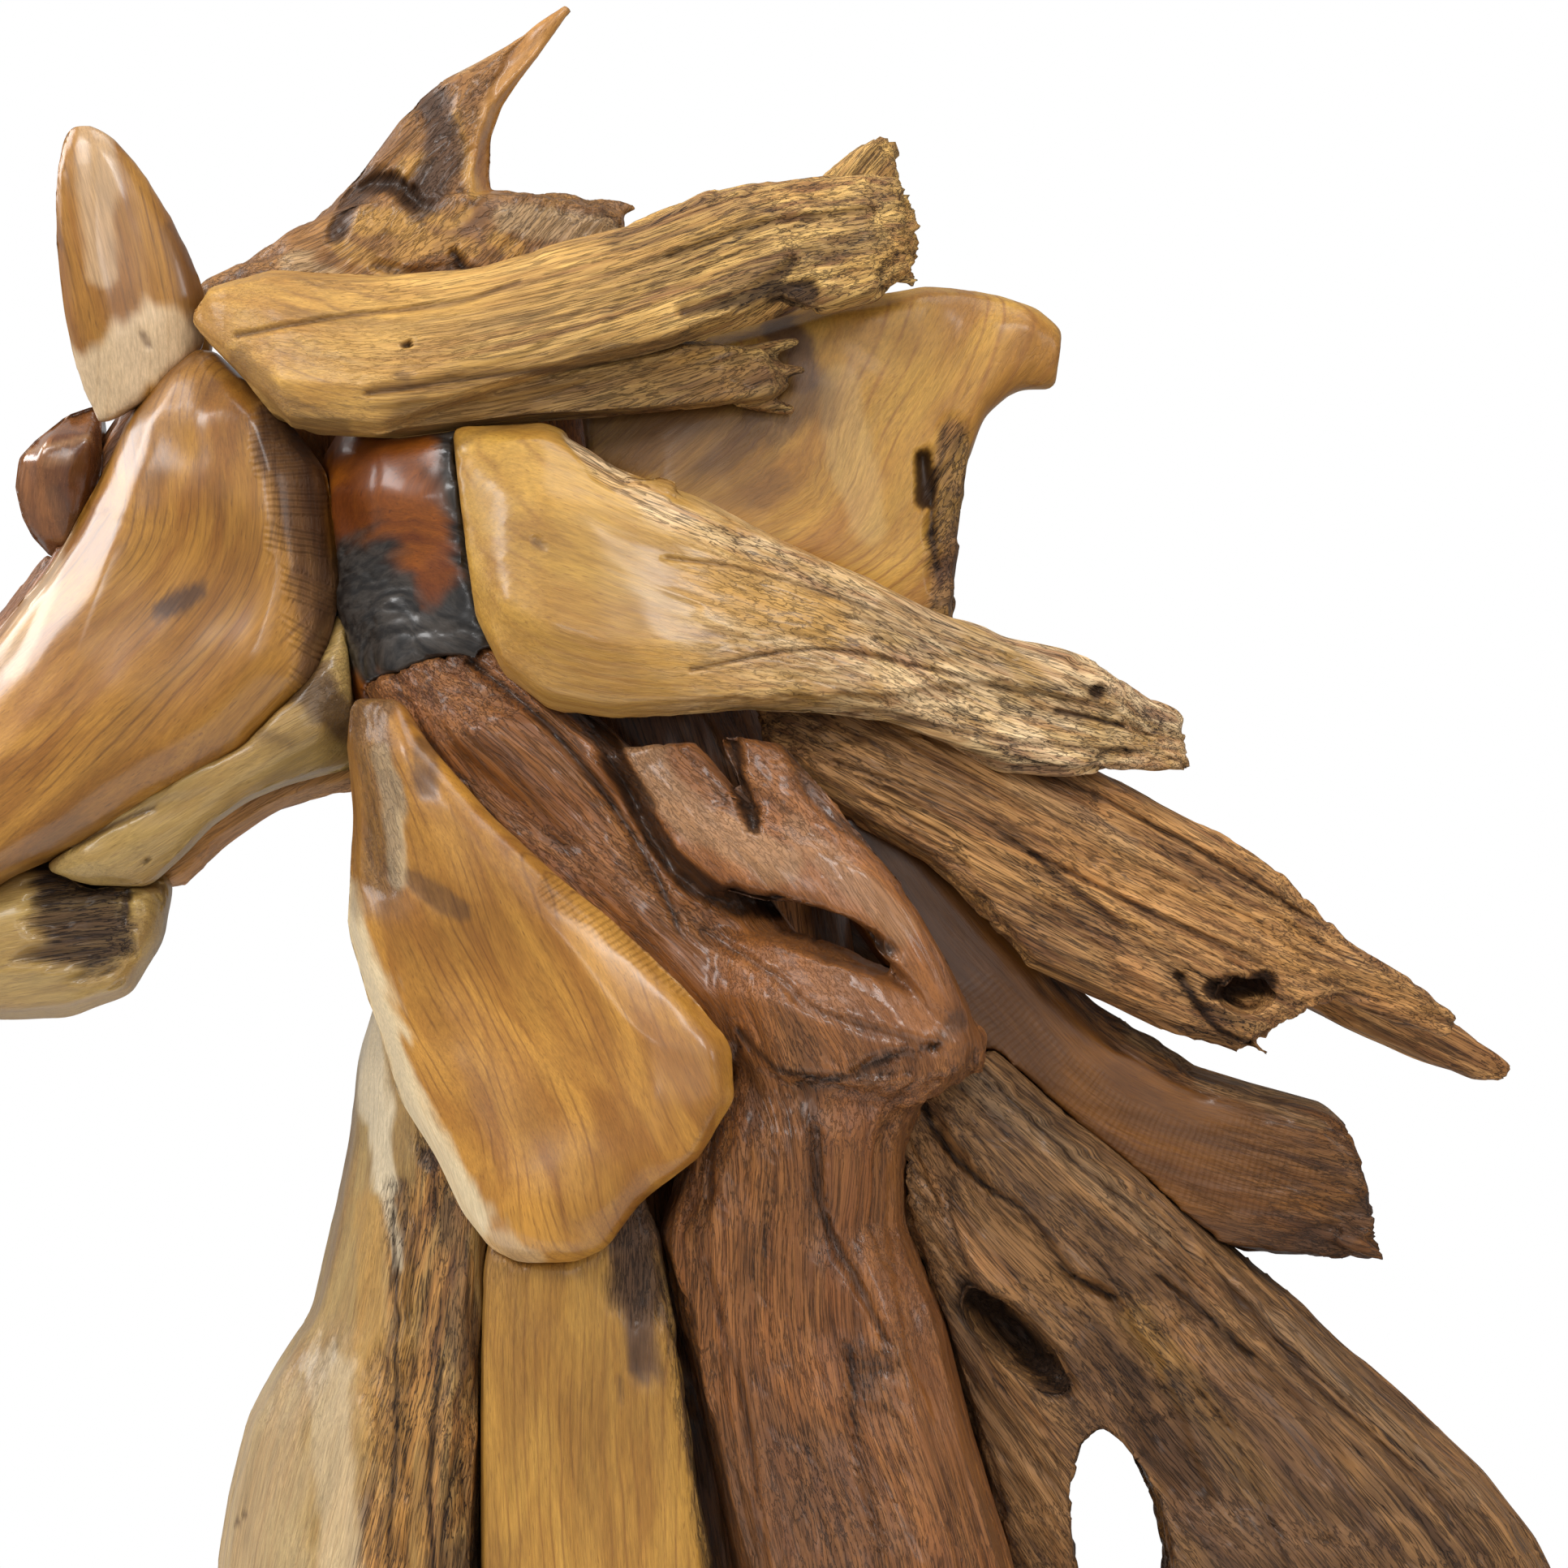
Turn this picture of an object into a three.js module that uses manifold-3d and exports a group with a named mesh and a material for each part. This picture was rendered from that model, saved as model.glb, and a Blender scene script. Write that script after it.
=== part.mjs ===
// A horse head and neck built up from teak driftwood: carved cheeks and ears, sawn boards, and root
// pieces that fan out behind as the mane. Every piece is a solid of its own, fitted to its neighbours.
// Millimetres, +Z up, the horse looks towards -X, and the side that is finished best faces -Y.
import * as THREE from "three";
import { mergeVertices } from "three/addons/utils/BufferGeometryUtils.js";
import Module from "manifold-3d";

const wasm = await Module();
wasm.setup();

// Driving dimensions of the whole bust
const height = 1070; // underside to the tip of the forelock root
const length = 1127; // muzzle to the toe of the hollow root
const thickness = 370; // across the neck shields

// Sizes that are set by themselves
const seatGap = 0.4; // air left where one piece is scribed to another
const airHole = { across: 58, tall: 152, lean: -11 }; // the oval gap right through the hollow root
const knotHollow = { long: 92, wide: 34, deep: 62, lean: -46 }; // the rotted knot above it
const spearHollow = { long: 40, wide: 26, deep: 34 }; // the hollow near the spear's split end
const curlHollow = { long: 96, wide: 24, deep: 70, lean: 16 }; // the slot under the neck root's curl

// The forms below are drawn at these extents, and placed as shares of them
const drawn = { height: 1070, length: 1127, thickness: 370 };

// A point of the drawn form at its real place
function place(x, z, y) {
  return new THREE.Vector3(
    (x * length) / drawn.length,
    (y * thickness) / drawn.thickness,
    (z * height) / drawn.height,
  );
}

// Teak as it shows on the pieces: pale sapwood, oiled heartwood, weathered root and scorched bark
const finishes = {
  honey: { color: 0xc58b42, roughness: 0.35 },
  amber: { color: 0xb9772f, roughness: 0.3 },
  straw: { color: 0xcaa061, roughness: 0.55 },
  root: { color: 0x7d5531, roughness: 0.45 },
  bark: { color: 0x6b442a, roughness: 0.6 },
  scorched: { color: 0x3b2a22, roughness: 0.35 },
};

// Each form is a row of cross-sections from one end of the grain to the other. A row holds one
// edge of the section as x, z, y, the other edge as x, z, y, and how thick it is between them.
// sides and rings are the facets round and along, square is how boxy the section is (2 is an
// ellipse), lump is how uneven its faces are, and blunt is the share of the thickness at the ends.
const nearCheek = {
  finish: "honey", sides: 12, rings: 13, square: 2.5, lump: 0.03, blunt: 0.8,
  rows: [
    [-361, 852, -38, -349, 850, -40, 26],
    [-381, 836, -36, -333, 835, -48, 50],
    [-403, 810, -32, -306, 812, -56, 74],
    [-420, 775, -30, -279, 778, -56, 88],
    [-440, 738, -28, -268, 712, -56, 96],
    [-458, 711, -28, -282, 650, -58, 100],
    [-478, 689, -26, -325, 607, -54, 100],
    [-508, 648, -24, -383, 578, -50, 94],
    [-538, 605, -24, -428, 550, -46, 86],
    [-568, 560, -24, -473, 531, -42, 78],
    [-595, 520, -24, -515, 503, -38, 72],
    [-614, 488, -24, -558, 473, -32, 56],
    [-609, 463, -22, -586, 458, -26, 32],
  ],
};

const foreheadStrip = {
  finish: "root", sides: 6, rings: 7, square: 3, lump: 0.05, blunt: 0.7,
  rows: [
    [-358, 853, 0, -352, 839, 0, 44],
    [-385, 845, 0, -370, 820, 0, 54],
    [-408, 829, 0, -390, 798, 0, 56],
    [-425, 806, 0, -400, 770, 0, 56],
    [-439, 768, 0, -413, 735, 0, 56],
    [-457, 731, 0, -428, 700, 0, 54],
    [-484, 697, 0, -448, 665, 0, 54],
    [-515, 655, 0, -478, 625, 0, 54],
    [-545, 611, 0, -508, 588, 0, 54],
    [-576, 566, 0, -538, 545, 0, 50],
    [-600, 526, 0, -568, 510, 0, 42],
  ],
};

const browBlock = {
  finish: "bark", sides: 9, rings: 7, square: 4, lump: 0.1, blunt: 0.8,
  rows: [
    [-446, 812, -4, -424, 820, -4, 40],
    [-466, 795, -4, -422, 798, -4, 66],
    [-475, 783, -4, -421, 777, -4, 74],
    [-473, 757, -4, -428, 760, -4, 68],
    [-467, 742, -4, -438, 739, -4, 52],
    [-455, 728, -4, -446, 726, -4, 28],
  ],
};

const nearJaw = {
  finish: "straw", sides: 10, rings: 8, square: 2.8, lump: 0.06, blunt: 0.8,
  rows: [
    [-268, 700, -42, -263, 596, -40, 60],
    [-290, 670, -42, -283, 592, -40, 74],
    [-328, 630, -42, -313, 583, -40, 78],
    [-370, 605, -42, -339, 570, -40, 76],
    [-413, 578, -42, -364, 547, -40, 72],
    [-438, 555, -40, -384, 524, -38, 64],
    [-455, 536, -38, -426, 524, -36, 48],
  ],
};

const farJaw = {
  finish: "root", sides: 8, rings: 6, square: 2.8, lump: 0.05, blunt: 0.8,
  rows: [
    [-263, 690, 38, -260, 584, 36, 62],
    [-288, 660, 38, -283, 581, 36, 70],
    [-328, 625, 38, -310, 574, 36, 72],
    [-370, 600, 38, -335, 561, 36, 72],
    [-408, 570, 38, -359, 542, 36, 68],
    [-428, 550, 36, -380, 521, 34, 60],
    [-448, 535, 34, -418, 521, 32, 44],
  ],
};

const chinBlock = {
  finish: "straw", sides: 10, rings: 8, square: 2.3, lump: 0.03, blunt: 0.7,
  rows: [
    [-381, 527, 0, -382, 515, 0, 46],
    [-397, 540, 0, -387, 488, 0, 84],
    [-418, 546, 0, -406, 456, 0, 100],
    [-448, 546, 0, -443, 442, 0, 108],
    [-476, 540, 0, -476, 440, 0, 108],
    [-513, 518, 0, -510, 441, 0, 98],
    [-543, 490, 0, -539, 451, 0, 78],
    [-561, 473, 0, -558, 463, 0, 38],
  ],
};

const nearEar = {
  finish: "honey", sides: 10, rings: 9, square: 2.2, lump: 0.02, blunt: 0.8,
  rows: [
    [-421, 806, -42, -357, 842, -32, 32],
    [-438, 850, -46, -355, 889, -34, 38],
    [-444, 885, -48, -364, 913, -36, 38],
    [-447, 925, -50, -377, 938, -40, 34],
    [-447, 953, -52, -392, 962, -44, 28],
    [-444, 975, -52, -407, 981, -48, 20],
    [-439, 987, -52, -420, 989, -50, 12],
    [-435, 991, -52, -429, 991, -51, 6],
  ],
};

const farEar = {
  finish: "honey", sides: 8, rings: 7, square: 2.2, lump: 0.02, blunt: 0.8,
  rows: [
    [-414, 810, 38, -358, 838, 32, 32],
    [-428, 842, 42, -356, 878, 34, 36],
    [-434, 880, 46, -364, 900, 36, 34],
    [-434, 920, 50, -380, 928, 40, 28],
    [-430, 952, 54, -402, 956, 50, 20],
    [-424, 974, 56, -416, 976, 56, 8],
  ],
};

const forelockBody = {
  sides: 10, rings: 9, square: 2.6, lump: 0.12, blunt: 0.7,
  rows: [
    [-360, 895, -10, -355, 886, -12, 30],
    [-329, 912, -9, -315, 878, -12, 60],
    [-298, 934, -8, -280, 873, -12, 80],
    [-248, 954, -7, -233, 872, -12, 88],
    [-180, 955, -7, -178, 878, -12, 84],
    [-135, 950, -7, -133, 890, -12, 70],
    [-114, 947, -6, -112, 905, -10, 54],
    [-100, 941, -6, -99, 922, -8, 34],
  ],
};

const forelockSpike = {
  sides: 8, rings: 9, square: 2.6, lump: 0.08, blunt: 0.9,
  rows: [
    [-309, 920, -8, -183, 902, -10, 62],
    [-283, 946, -8, -180, 946, -10, 58],
    [-258, 973, -7, -183, 970, -9, 50],
    [-227, 1012, -5, -179, 997, -7, 40],
    [-206, 1027, -4, -168, 1017, -5, 32],
    [-173, 1043, -2, -156, 1033, -3, 22],
    [-155, 1058, -1, -145, 1049, -1, 14],
    [-136, 1070, 0, -133, 1067, 0, 6],
  ],
};

const crestTop = {
  sides: 10, rings: 13, square: 3, lump: 0.06, blunt: 0.8,
  rows: [
    [-358, 878, -60, -360, 869, -62, 22],
    [-350, 889, -62, -338, 845, -68, 36],
    [-313, 900, -64, -297, 803, -88, 52],
    [-248, 897, -68, -243, 799, -98, 60],
    [-183, 901, -72, -183, 820, -102, 62],
    [-133, 916, -72, -123, 839, -102, 62],
    [-93, 926, -72, -68, 852, -102, 62],
    [-48, 946, -70, -33, 866, -100, 60],
    [-8, 952, -70, -2, 881, -96, 58],
    [22, 956, -68, 22, 873, -90, 56],
    [47, 958, -66, 54, 879, -84, 52],
    [76, 956, -64, 77, 897, -76, 46],
    [84, 939, -62, 84, 910, -66, 34],
  ],
};

const crestUnderside = {
  sides: 8, rings: 8, square: 3, lump: 0.08, blunt: 0.8,
  rows: [
    [-333, 842, -66, -308, 810, -72, 40],
    [-283, 855, -70, -283, 800, -78, 48],
    [-233, 855, -72, -233, 798, -80, 50],
    [-163, 855, -74, -163, 806, -82, 52],
    [-93, 855, -74, -93, 812, -82, 52],
    [-43, 854, -74, -38, 816, -80, 48],
    [-15, 852, -72, -7, 820, -76, 40],
    [-2, 846, -70, 4, 828, -72, 28],
  ],
};

const napeBurl = {
  finish: "scorched", sides: 10, rings: 8, square: 2.4, lump: 0.06, blunt: 0.8,
  rows: [
    [-270, 812, -30, -163, 815, -60, 70],
    [-286, 785, -28, -156, 790, -66, 92],
    [-292, 752, -28, -153, 757, -70, 100],
    [-287, 720, -30, -150, 722, -72, 98],
    [-278, 685, -34, -149, 687, -74, 92],
    [-268, 652, -38, -149, 659, -76, 86],
    [-261, 631, -42, -163, 640, -76, 74],
  ],
};

const manePlank = {
  finish: "honey", sides: 10, rings: 14, square: 2.8, lump: 0.08, blunt: 0.75,
  rows: [
    [-200, 804, -96, -184, 685, -116, 40],
    [-163, 805, -96, -163, 647, -126, 56],
    [-133, 805, -94, -128, 628, -130, 62],
    [-110, 783, -96, -83, 626, -130, 64],
    [-68, 770, -92, -33, 629, -126, 64],
    [-2, 737, -88, 17, 629, -118, 60],
    [47, 714, -84, 67, 625, -110, 56],
    [107, 686, -80, 102, 610, -100, 50],
    [150, 674, -76, 148, 591, -92, 46],
    [187, 664, -72, 202, 596, -84, 40],
    [207, 646, -68, 232, 594, -78, 32],
    [242, 631, -66, 250, 592, -72, 24],
  ],
};

const maneFan = {
  finish: "amber", sides: 10, rings: 11, square: 3.4, lump: 0.05, blunt: 0.85,
  rows: [
    [-125, 838, -34, -118, 770, -34, 56],
    [-73, 852, -34, -53, 725, -40, 64],
    [-23, 870, -32, 10, 685, -42, 66],
    [22, 886, -30, 57, 662, -42, 66],
    [62, 892, -26, 101, 668, -38, 62],
    [92, 897, -24, 105, 732, -34, 60],
    [124, 891, -24, 116, 797, -32, 54],
    [152, 883, -26, 137, 827, -32, 46],
    [171, 867, -28, 166, 830, -32, 34],
  ],
};

const maneSpear = {
  finish: "root", sides: 10, rings: 13, square: 3, lump: 0.08, blunt: 0.8,
  rows: [
    [-18, 660, -54, -8, 600, -54, 62],
    [47, 650, -54, 22, 576, -60, 66],
    [117, 627, -54, 65, 553, -68, 64],
    [182, 603, -52, 108, 525, -74, 62],
    [222, 580, -50, 141, 481, -74, 60],
    [270, 556, -48, 187, 457, -72, 56],
    [309, 530, -46, 247, 431, -66, 52],
    [328, 508, -44, 290, 421, -58, 42],
    [362, 481, -42, 321, 459, -50, 36],
    [392, 462, -40, 367, 441, -44, 30],
    [416, 444, -38, 409, 431, -40, 20],
  ],
};

const maneSlab = {
  finish: "amber", sides: 10, rings: 9, square: 4.5, lump: 0.03, blunt: 0.95,
  rows: [
    [47, 590, -28, 22, 530, -32, 50],
    [92, 550, -24, 57, 480, -30, 62],
    [142, 500, -20, 102, 420, -28, 70],
    [190, 452, -18, 150, 360, -26, 74],
    [230, 430, -17, 200, 318, -25, 75],
    [252, 413, -16, 240, 306, -24, 75],
    [290, 401, -14, 280, 299, -22, 74],
    [332, 390, -12, 320, 295, -20, 70],
    [348, 378, -12, 371, 293, -18, 62],
  ],
};

const rootRibs = {
  sides: 9, rings: 5, square: 2.6, lump: 0.1, blunt: 0.8,
  rows: [
    [-260, 645, -60, -163, 680, -66, 80],
    [-223, 605, -70, -123, 640, -76, 100],
    [-178, 550, -76, -68, 590, -80, 108],
    [-128, 495, -82, -18, 535, -82, 116],
    [-78, 445, -86, 22, 480, -84, 124],
  ],
};

const rootTrunk = {
  sides: 12, rings: 9, square: 2.6, lump: 0.07, blunt: 1,
  rows: [
    [-43, 470, -88, 92, 475, -80, 130],
    [-47, 420, -88, 99, 420, -76, 140],
    [-58, 370, -88, 79, 377, -74, 140],
    [-76, 335, -90, 66, 340, -74, 144],
    [-70, 285, -92, 92, 290, -76, 152],
    [-54, 235, -94, 103, 232, -78, 158],
    [-43, 175, -94, 121, 175, -80, 164],
    [-29, 111, -94, 139, 111, -82, 170],
    [-15, 55, -94, 154, 55, -82, 176],
    [-4, -10, -94, 169, -10, -82, 180],
  ],
};

const rootKnob = {
  sides: 9, rings: 6, square: 2.2, lump: 0.04, blunt: 0.7,
  rows: [
    [-53, 510, -96, -43, 400, -96, 110],
    [7, 500, -112, 12, 386, -112, 116],
    [57, 480, -118, 62, 386, -118, 104],
    [97, 458, -118, 97, 402, -118, 76],
    [121, 438, -112, 120, 416, -112, 40],
  ],
};

const rootCurl = {
  sides: 8, rings: 9, square: 2.6, lump: 0.06, blunt: 0.8,
  rows: [
    [-52, 613, -118, -109, 607, -108, 26],
    [-25, 581, -126, -93, 575, -116, 30],
    [9, 560, -138, -68, 540, -130, 32],
    [45, 545, -144, -25, 518, -142, 32],
    [70, 525, -142, 22, 511, -148, 34],
    [90, 495, -134, 62, 482, -148, 38],
    [111, 456, -120, 84, 457, -140, 44],
    [118, 424, -108, 104, 422, -124, 40],
  ],
};

const rootProng = {
  sides: 8, rings: 5, square: 2.6, lump: 0.06, blunt: 0.8,
  rows: [
    [0, 612, -116, -39, 615, -116, 24],
    [18, 592, -124, -24, 582, -124, 28],
    [47, 554, -136, -1, 550, -136, 30],
    [72, 527, -140, 27, 524, -140, 30],
  ],
};

const neckShield = {
  finish: "amber", sides: 12, rings: 12, square: 2.3, lump: 0.02, blunt: 0.7,
  rows: [
    [-261, 637, -92, -232, 638, -104, 34],
    [-264, 610, -92, -210, 607, -116, 46],
    [-261, 570, -92, -173, 568, -130, 56],
    [-263, 530, -92, -133, 531, -142, 62],
    [-265, 502, -92, -102, 506, -150, 66],
    [-256, 467, -96, -58, 467, -158, 68],
    [-246, 437, -102, -29, 434, -164, 68],
    [-233, 397, -112, -27, 400, -166, 66],
    [-210, 365, -126, -48, 366, -166, 60],
    [-193, 332, -138, -83, 340, -164, 52],
    [-175, 310, -146, -104, 312, -160, 42],
    [-158, 302, -150, -122, 303, -156, 28],
  ],
};

const chestLog = {
  finish: "straw", sides: 11, rings: 11, square: 2.5, lump: 0.06, blunt: 1,
  rows: [
    [-248, 460, -30, -218, 435, -60, 60],
    [-263, 415, -22, -188, 385, -82, 90],
    [-269, 365, -18, -172, 345, -92, 108],
    [-280, 310, -16, -175, 302, -98, 118],
    [-291, 262, -16, -180, 260, -102, 124],
    [-317, 221, -16, -181, 220, -104, 130],
    [-331, 196, -16, -181, 195, -106, 134],
    [-343, 150, -16, -183, 150, -108, 138],
    [-349, 111, -16, -183, 111, -108, 142],
    [-354, 55, -16, -182, 55, -108, 146],
    [-359, -10, -16, -180, -10, -108, 150],
  ],
};

const frontBoard = {
  finish: "honey", sides: 12, rings: 7, square: 5, lump: 0.02, blunt: 1,
  rows: [
    [-170, 352, -112, -88, 356, -112, 56],
    [-180, 305, -114, -76, 320, -114, 66],
    [-181, 270, -116, -67, 280, -116, 70],
    [-182, 210, -118, -58, 210, -118, 74],
    [-182, 155, -120, -48, 155, -120, 76],
    [-181, 111, -120, -42, 111, -120, 78],
    [-180, 55, -122, -33, 55, -122, 80],
    [-177, -10, -122, -24, -10, -122, 80],
  ],
};

const hollowRoot = {
  finish: "root", sides: 12, rings: 10, square: 2.7, lump: 0.06, blunt: 1,
  rows: [
    [64, 407, -62, 130, 426, -50, 60],
    [62, 370, -60, 167, 394, -44, 84],
    [69, 330, -56, 212, 360, -38, 104],
    [82, 290, -50, 250, 327, -30, 120],
    [92, 250, -42, 298, 286, -22, 132],
    [102, 210, -34, 356, 232, -14, 142],
    [112, 170, -28, 410, 184, -8, 148],
    [119, 140, -26, 443, 149, -6, 154],
    [126, 111, -24, 472, 111, -4, 160],
    [137, 55, -20, 500, 55, 0, 168],
    [148, -10, -18, 514, -10, 2, 172],
  ],
};

const farNeckRoot = {
  finish: "root", sides: 10, rings: 6, square: 2.6, lump: 0.08, blunt: 1,
  rows: [
    [-203, 720, 30, -33, 690, 30, 110],
    [-173, 640, 40, 17, 620, 40, 130],
    [-163, 545, 50, 47, 520, 50, 150],
    [-163, 445, 54, 57, 425, 54, 164],
    [-163, 345, 58, 57, 335, 58, 172],
    [-163, 245, 60, 82, 240, 60, 178],
    [-158, 145, 62, 107, 145, 62, 184],
    [-153, -10, 64, 147, -10, 64, 190],
  ],
};

const farChestLog = {
  finish: "straw", sides: 9, rings: 7, square: 2.5, lump: 0.06, blunt: 1,
  rows: [
    [-244, 480, 40, -163, 510, 60, 70],
    [-252, 420, 42, -143, 425, 70, 100],
    [-260, 350, 46, -133, 350, 78, 118],
    [-276, 290, 48, -133, 290, 84, 128],
    [-300, 230, 50, -133, 230, 88, 136],
    [-326, 175, 52, -133, 175, 92, 140],
    [-338, 111, 54, -133, 111, 94, 144],
    [-348, -10, 56, -133, -10, 96, 148],
  ],
};

const farNape = {
  finish: "bark", sides: 8, rings: 6, square: 2.4, lump: 0.06, blunt: 0.8,
  rows: [
    [-343, 848, 30, -103, 838, 36, 74],
    [-296, 776, 36, -93, 770, 40, 92],
    [-278, 710, 42, -83, 710, 42, 98],
    [-268, 645, 44, -83, 645, 44, 98],
    [-258, 590, 46, -93, 580, 46, 88],
    [-248, 540, 48, -123, 530, 48, 66],
  ],
};

const farNeckShield = {
  finish: "amber", sides: 9, rings: 8, square: 2.3, lump: 0.03, blunt: 0.7,
  rows: [
    [-248, 620, 92, -203, 630, 100, 40],
    [-253, 570, 98, -143, 590, 116, 54],
    [-248, 510, 104, -93, 530, 130, 62],
    [-233, 450, 112, -58, 470, 140, 64],
    [-213, 395, 122, -58, 405, 146, 60],
    [-188, 350, 132, -88, 355, 146, 48],
    [-163, 320, 138, -123, 322, 144, 30],
  ],
};

const farCrestPlank = {
  finish: "straw", sides: 8, rings: 10, square: 3, lump: 0.08, blunt: 0.8,
  rows: [
    [-318, 872, 42, -308, 835, 50, 44],
    [-243, 884, 46, -233, 815, 64, 60],
    [-143, 894, 50, -133, 815, 72, 64],
    [-58, 915, 50, -43, 845, 66, 60],
    [9, 957, 44, 32, 898, 52, 50],
    [42, 984, 40, 62, 935, 44, 42],
    [60, 995, 36, 70, 962, 38, 32],
    [72, 990, 34, 73, 972, 34, 18],
  ],
};

const farManePlank = {
  finish: "honey", sides: 8, rings: 8, square: 2.8, lump: 0.08, blunt: 0.8,
  rows: [
    [-173, 790, 84, -163, 690, 100, 44],
    [-103, 770, 86, -93, 640, 106, 58],
    [-23, 730, 82, -13, 630, 98, 58],
    [57, 690, 76, 62, 620, 86, 50],
    [137, 655, 68, 142, 605, 74, 42],
    [202, 625, 60, 207, 600, 64, 26],
  ],
};

const farManeSpear = {
  finish: "root", sides: 8, rings: 10, square: 3, lump: 0.08, blunt: 0.8,
  rows: [
    [17, 620, 40, 7, 565, 46, 50],
    [107, 580, 40, 92, 530, 48, 54],
    [192, 535, 36, 177, 495, 44, 52],
    [267, 500, 30, 252, 470, 38, 46],
    [317, 485, 24, 302, 458, 30, 40],
    [367, 462, 20, 342, 439, 24, 36],
    [415, 439, 16, 387, 417, 20, 32],
    [438, 425, 14, 427, 403, 16, 24],
    [455, 412, 14, 454, 398, 14, 14],
  ],
};

const farManeSlab = {
  finish: "amber", sides: 8, rings: 7, square: 3.6, lump: 0.04, blunt: 0.9,
  rows: [
    [-33, 580, 66, -53, 510, 78, 56],
    [37, 530, 66, 17, 450, 80, 64],
    [107, 470, 60, 77, 390, 74, 62],
    [177, 415, 50, 142, 335, 62, 56],
    [242, 380, 42, 217, 315, 50, 46],
    [287, 350, 38, 267, 310, 42, 30],
  ],
};

// Turns a form to the far side, a little inside the near one's outline
function mirrored(form, inset) {
  const rows = form.rows.map(([ax, az, ay, bx, bz, by, t]) => {
    const run = Math.hypot(bx - ax, bz - az);
    const share = Math.min(inset / run, 0.2);
    const [dx, dz] = [(bx - ax) * share, (bz - az) * share];
    return [ax + dx, az + dz, -ay, bx - dx, bz - dz, -by, t];
  });
  return { ...form, rows };
}

// Share of the full thickness at a place from 0 to 1 along the grain, rounding off both ends
function endRounding(along, blunt) {
  const reach = 0.16;
  const inward = Math.min(along, 1 - along, reach) / reach;
  return blunt + (1 - blunt) * Math.sqrt(1 - (1 - inward) ** 2);
}

const frontToBack = new THREE.Vector3(0, 1, 0);

// Carries the cross-sections along the grain as one closed skin. grow makes the same form larger
// all round, which is how a neighbour is cut back to a seat with air in it.
function skin(form, grow = 0) {
  const edgeA = new THREE.CatmullRomCurve3(form.rows.map(([x, z, y]) => place(x, z, y)));
  const edgeB = new THREE.CatmullRomCurve3(
    form.rows.map(([, , , x, z, y]) => place(x, z, y)),
  );
  const depths = new THREE.CatmullRomCurve3(form.rows.map(([, , , , , , t]) => place(0, 0, t)));
  const { sides, rings, square, lump, blunt } = form;
  const middle = (t) => edgeA.getPoint(t).add(edgeB.getPoint(t)).multiplyScalar(0.5);
  const endwise = (t) => (t === 0 ? -grow : t === 1 ? grow : 0);
  const points = [];
  for (let i = 0; i < rings; i++) {
    const t = i / (rings - 1);
    const centre = middle(t);
    const across = edgeA.getPoint(t).sub(centre);
    const grain = middle(Math.min(t + 0.02, 1)).sub(middle(Math.max(t - 0.02, 0))).normalize();
    const halfDepth = (depths.getPoint(t).y / 2) * endRounding(t, blunt);
    centre.addScaledVector(grain, endwise(t));
    const widen = 1 + grow / across.length();
    for (let k = 0; k < sides; k++) {
      const turn = (2 * Math.PI * k) / sides;
      const round = (v) => Math.sign(v) * Math.abs(v) ** (2 / square);
      const uneven = 1 + lump * (Math.sin(3 * turn + 5 * t) + Math.sin(2 * turn - 9 * t));
      points.push(
        centre
          .clone()
          .addScaledVector(across, round(Math.cos(turn)) * widen)
          .addScaledVector(frontToBack, round(Math.sin(turn)) * (halfDepth * uneven + grow)),
      );
    }
  }
  const faces = [];
  for (let i = 0; i < rings - 1; i++) {
    for (let k = 0; k < sides; k++) {
      const [p, q] = [i * sides + k, i * sides + ((k + 1) % sides)];
      faces.push(p, p + sides, q, q, p + sides, q + sides);
    }
  }
  const last = (rings - 1) * sides;
  for (let k = 1; k < sides - 1; k++) {
    faces.push(0, k, k + 1, last, last + k + 1, last + k);
  }
  return new THREE.BufferGeometry().setFromPoints(points).setIndex(faces);
}

// A closed geometry as a solid whose faces point outwards
function solidOf(geometry) {
  const bare = geometry.clone();
  bare.deleteAttribute("normal");
  bare.deleteAttribute("uv");
  const merged = mergeVertices(bare, 1e-3);
  const build = (triVerts) =>
    new wasm.Manifold(
      new wasm.Mesh({
        numProp: 3,
        vertProperties: merged.attributes.position.array,
        triVerts: new Uint32Array(triVerts),
      }),
    );
  const solid = build(merged.index.array);
  return solid.volume() > 0 ? solid : build(merged.index.array.toReversed());
}

// A solid back as a geometry with flat facets
function geometryOf(solid) {
  const { vertProperties, triVerts } = solid.getMesh();
  const geometry = new THREE.BufferGeometry();
  geometry.setAttribute("position", new THREE.BufferAttribute(vertProperties, 3));
  geometry.setIndex(new THREE.BufferAttribute(triVerts, 1));
  const faceted = geometry.toNonIndexed();
  faceted.computeVertexNormals();
  return faceted;
}

// A rounded cutter across the grain: an oval drill, or a bowl, leaning from upright in its own plane
function ovalCutter(shape, wide, tall, deep, lean, [x, z, y]) {
  const cutter = shape === "drill"
    ? new THREE.CylinderGeometry(1, 1, 2, 14)
    : new THREE.SphereGeometry(1, 12, 8);
  cutter.scale(wide / 2, deep / 2, tall / 2);
  cutter.rotateY(THREE.MathUtils.degToRad(lean));
  const at = place(x, z, y);
  return solidOf(cutter.translate(at.x, at.y, at.z));
}

// A saw cut along a line on the face: what lies beyond the line is taken off at a slant, where 0
// goes straight back and 90 would be flat with the face
function sawn(solid, { from, to, slant }) {
  const start = place(...from);
  const line = place(...to).sub(start).normalize();
  const aside = new THREE.Vector3().crossVectors(line, frontToBack).normalize();
  const lean = THREE.MathUtils.degToRad(slant);
  const normal = aside
    .multiplyScalar(Math.cos(lean))
    .addScaledVector(frontToBack, -Math.sin(lean))
    .normalize();
  const inward = normal.clone().negate();
  return solid.trimByPlane(inward.toArray(), inward.dot(start));
}

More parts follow.
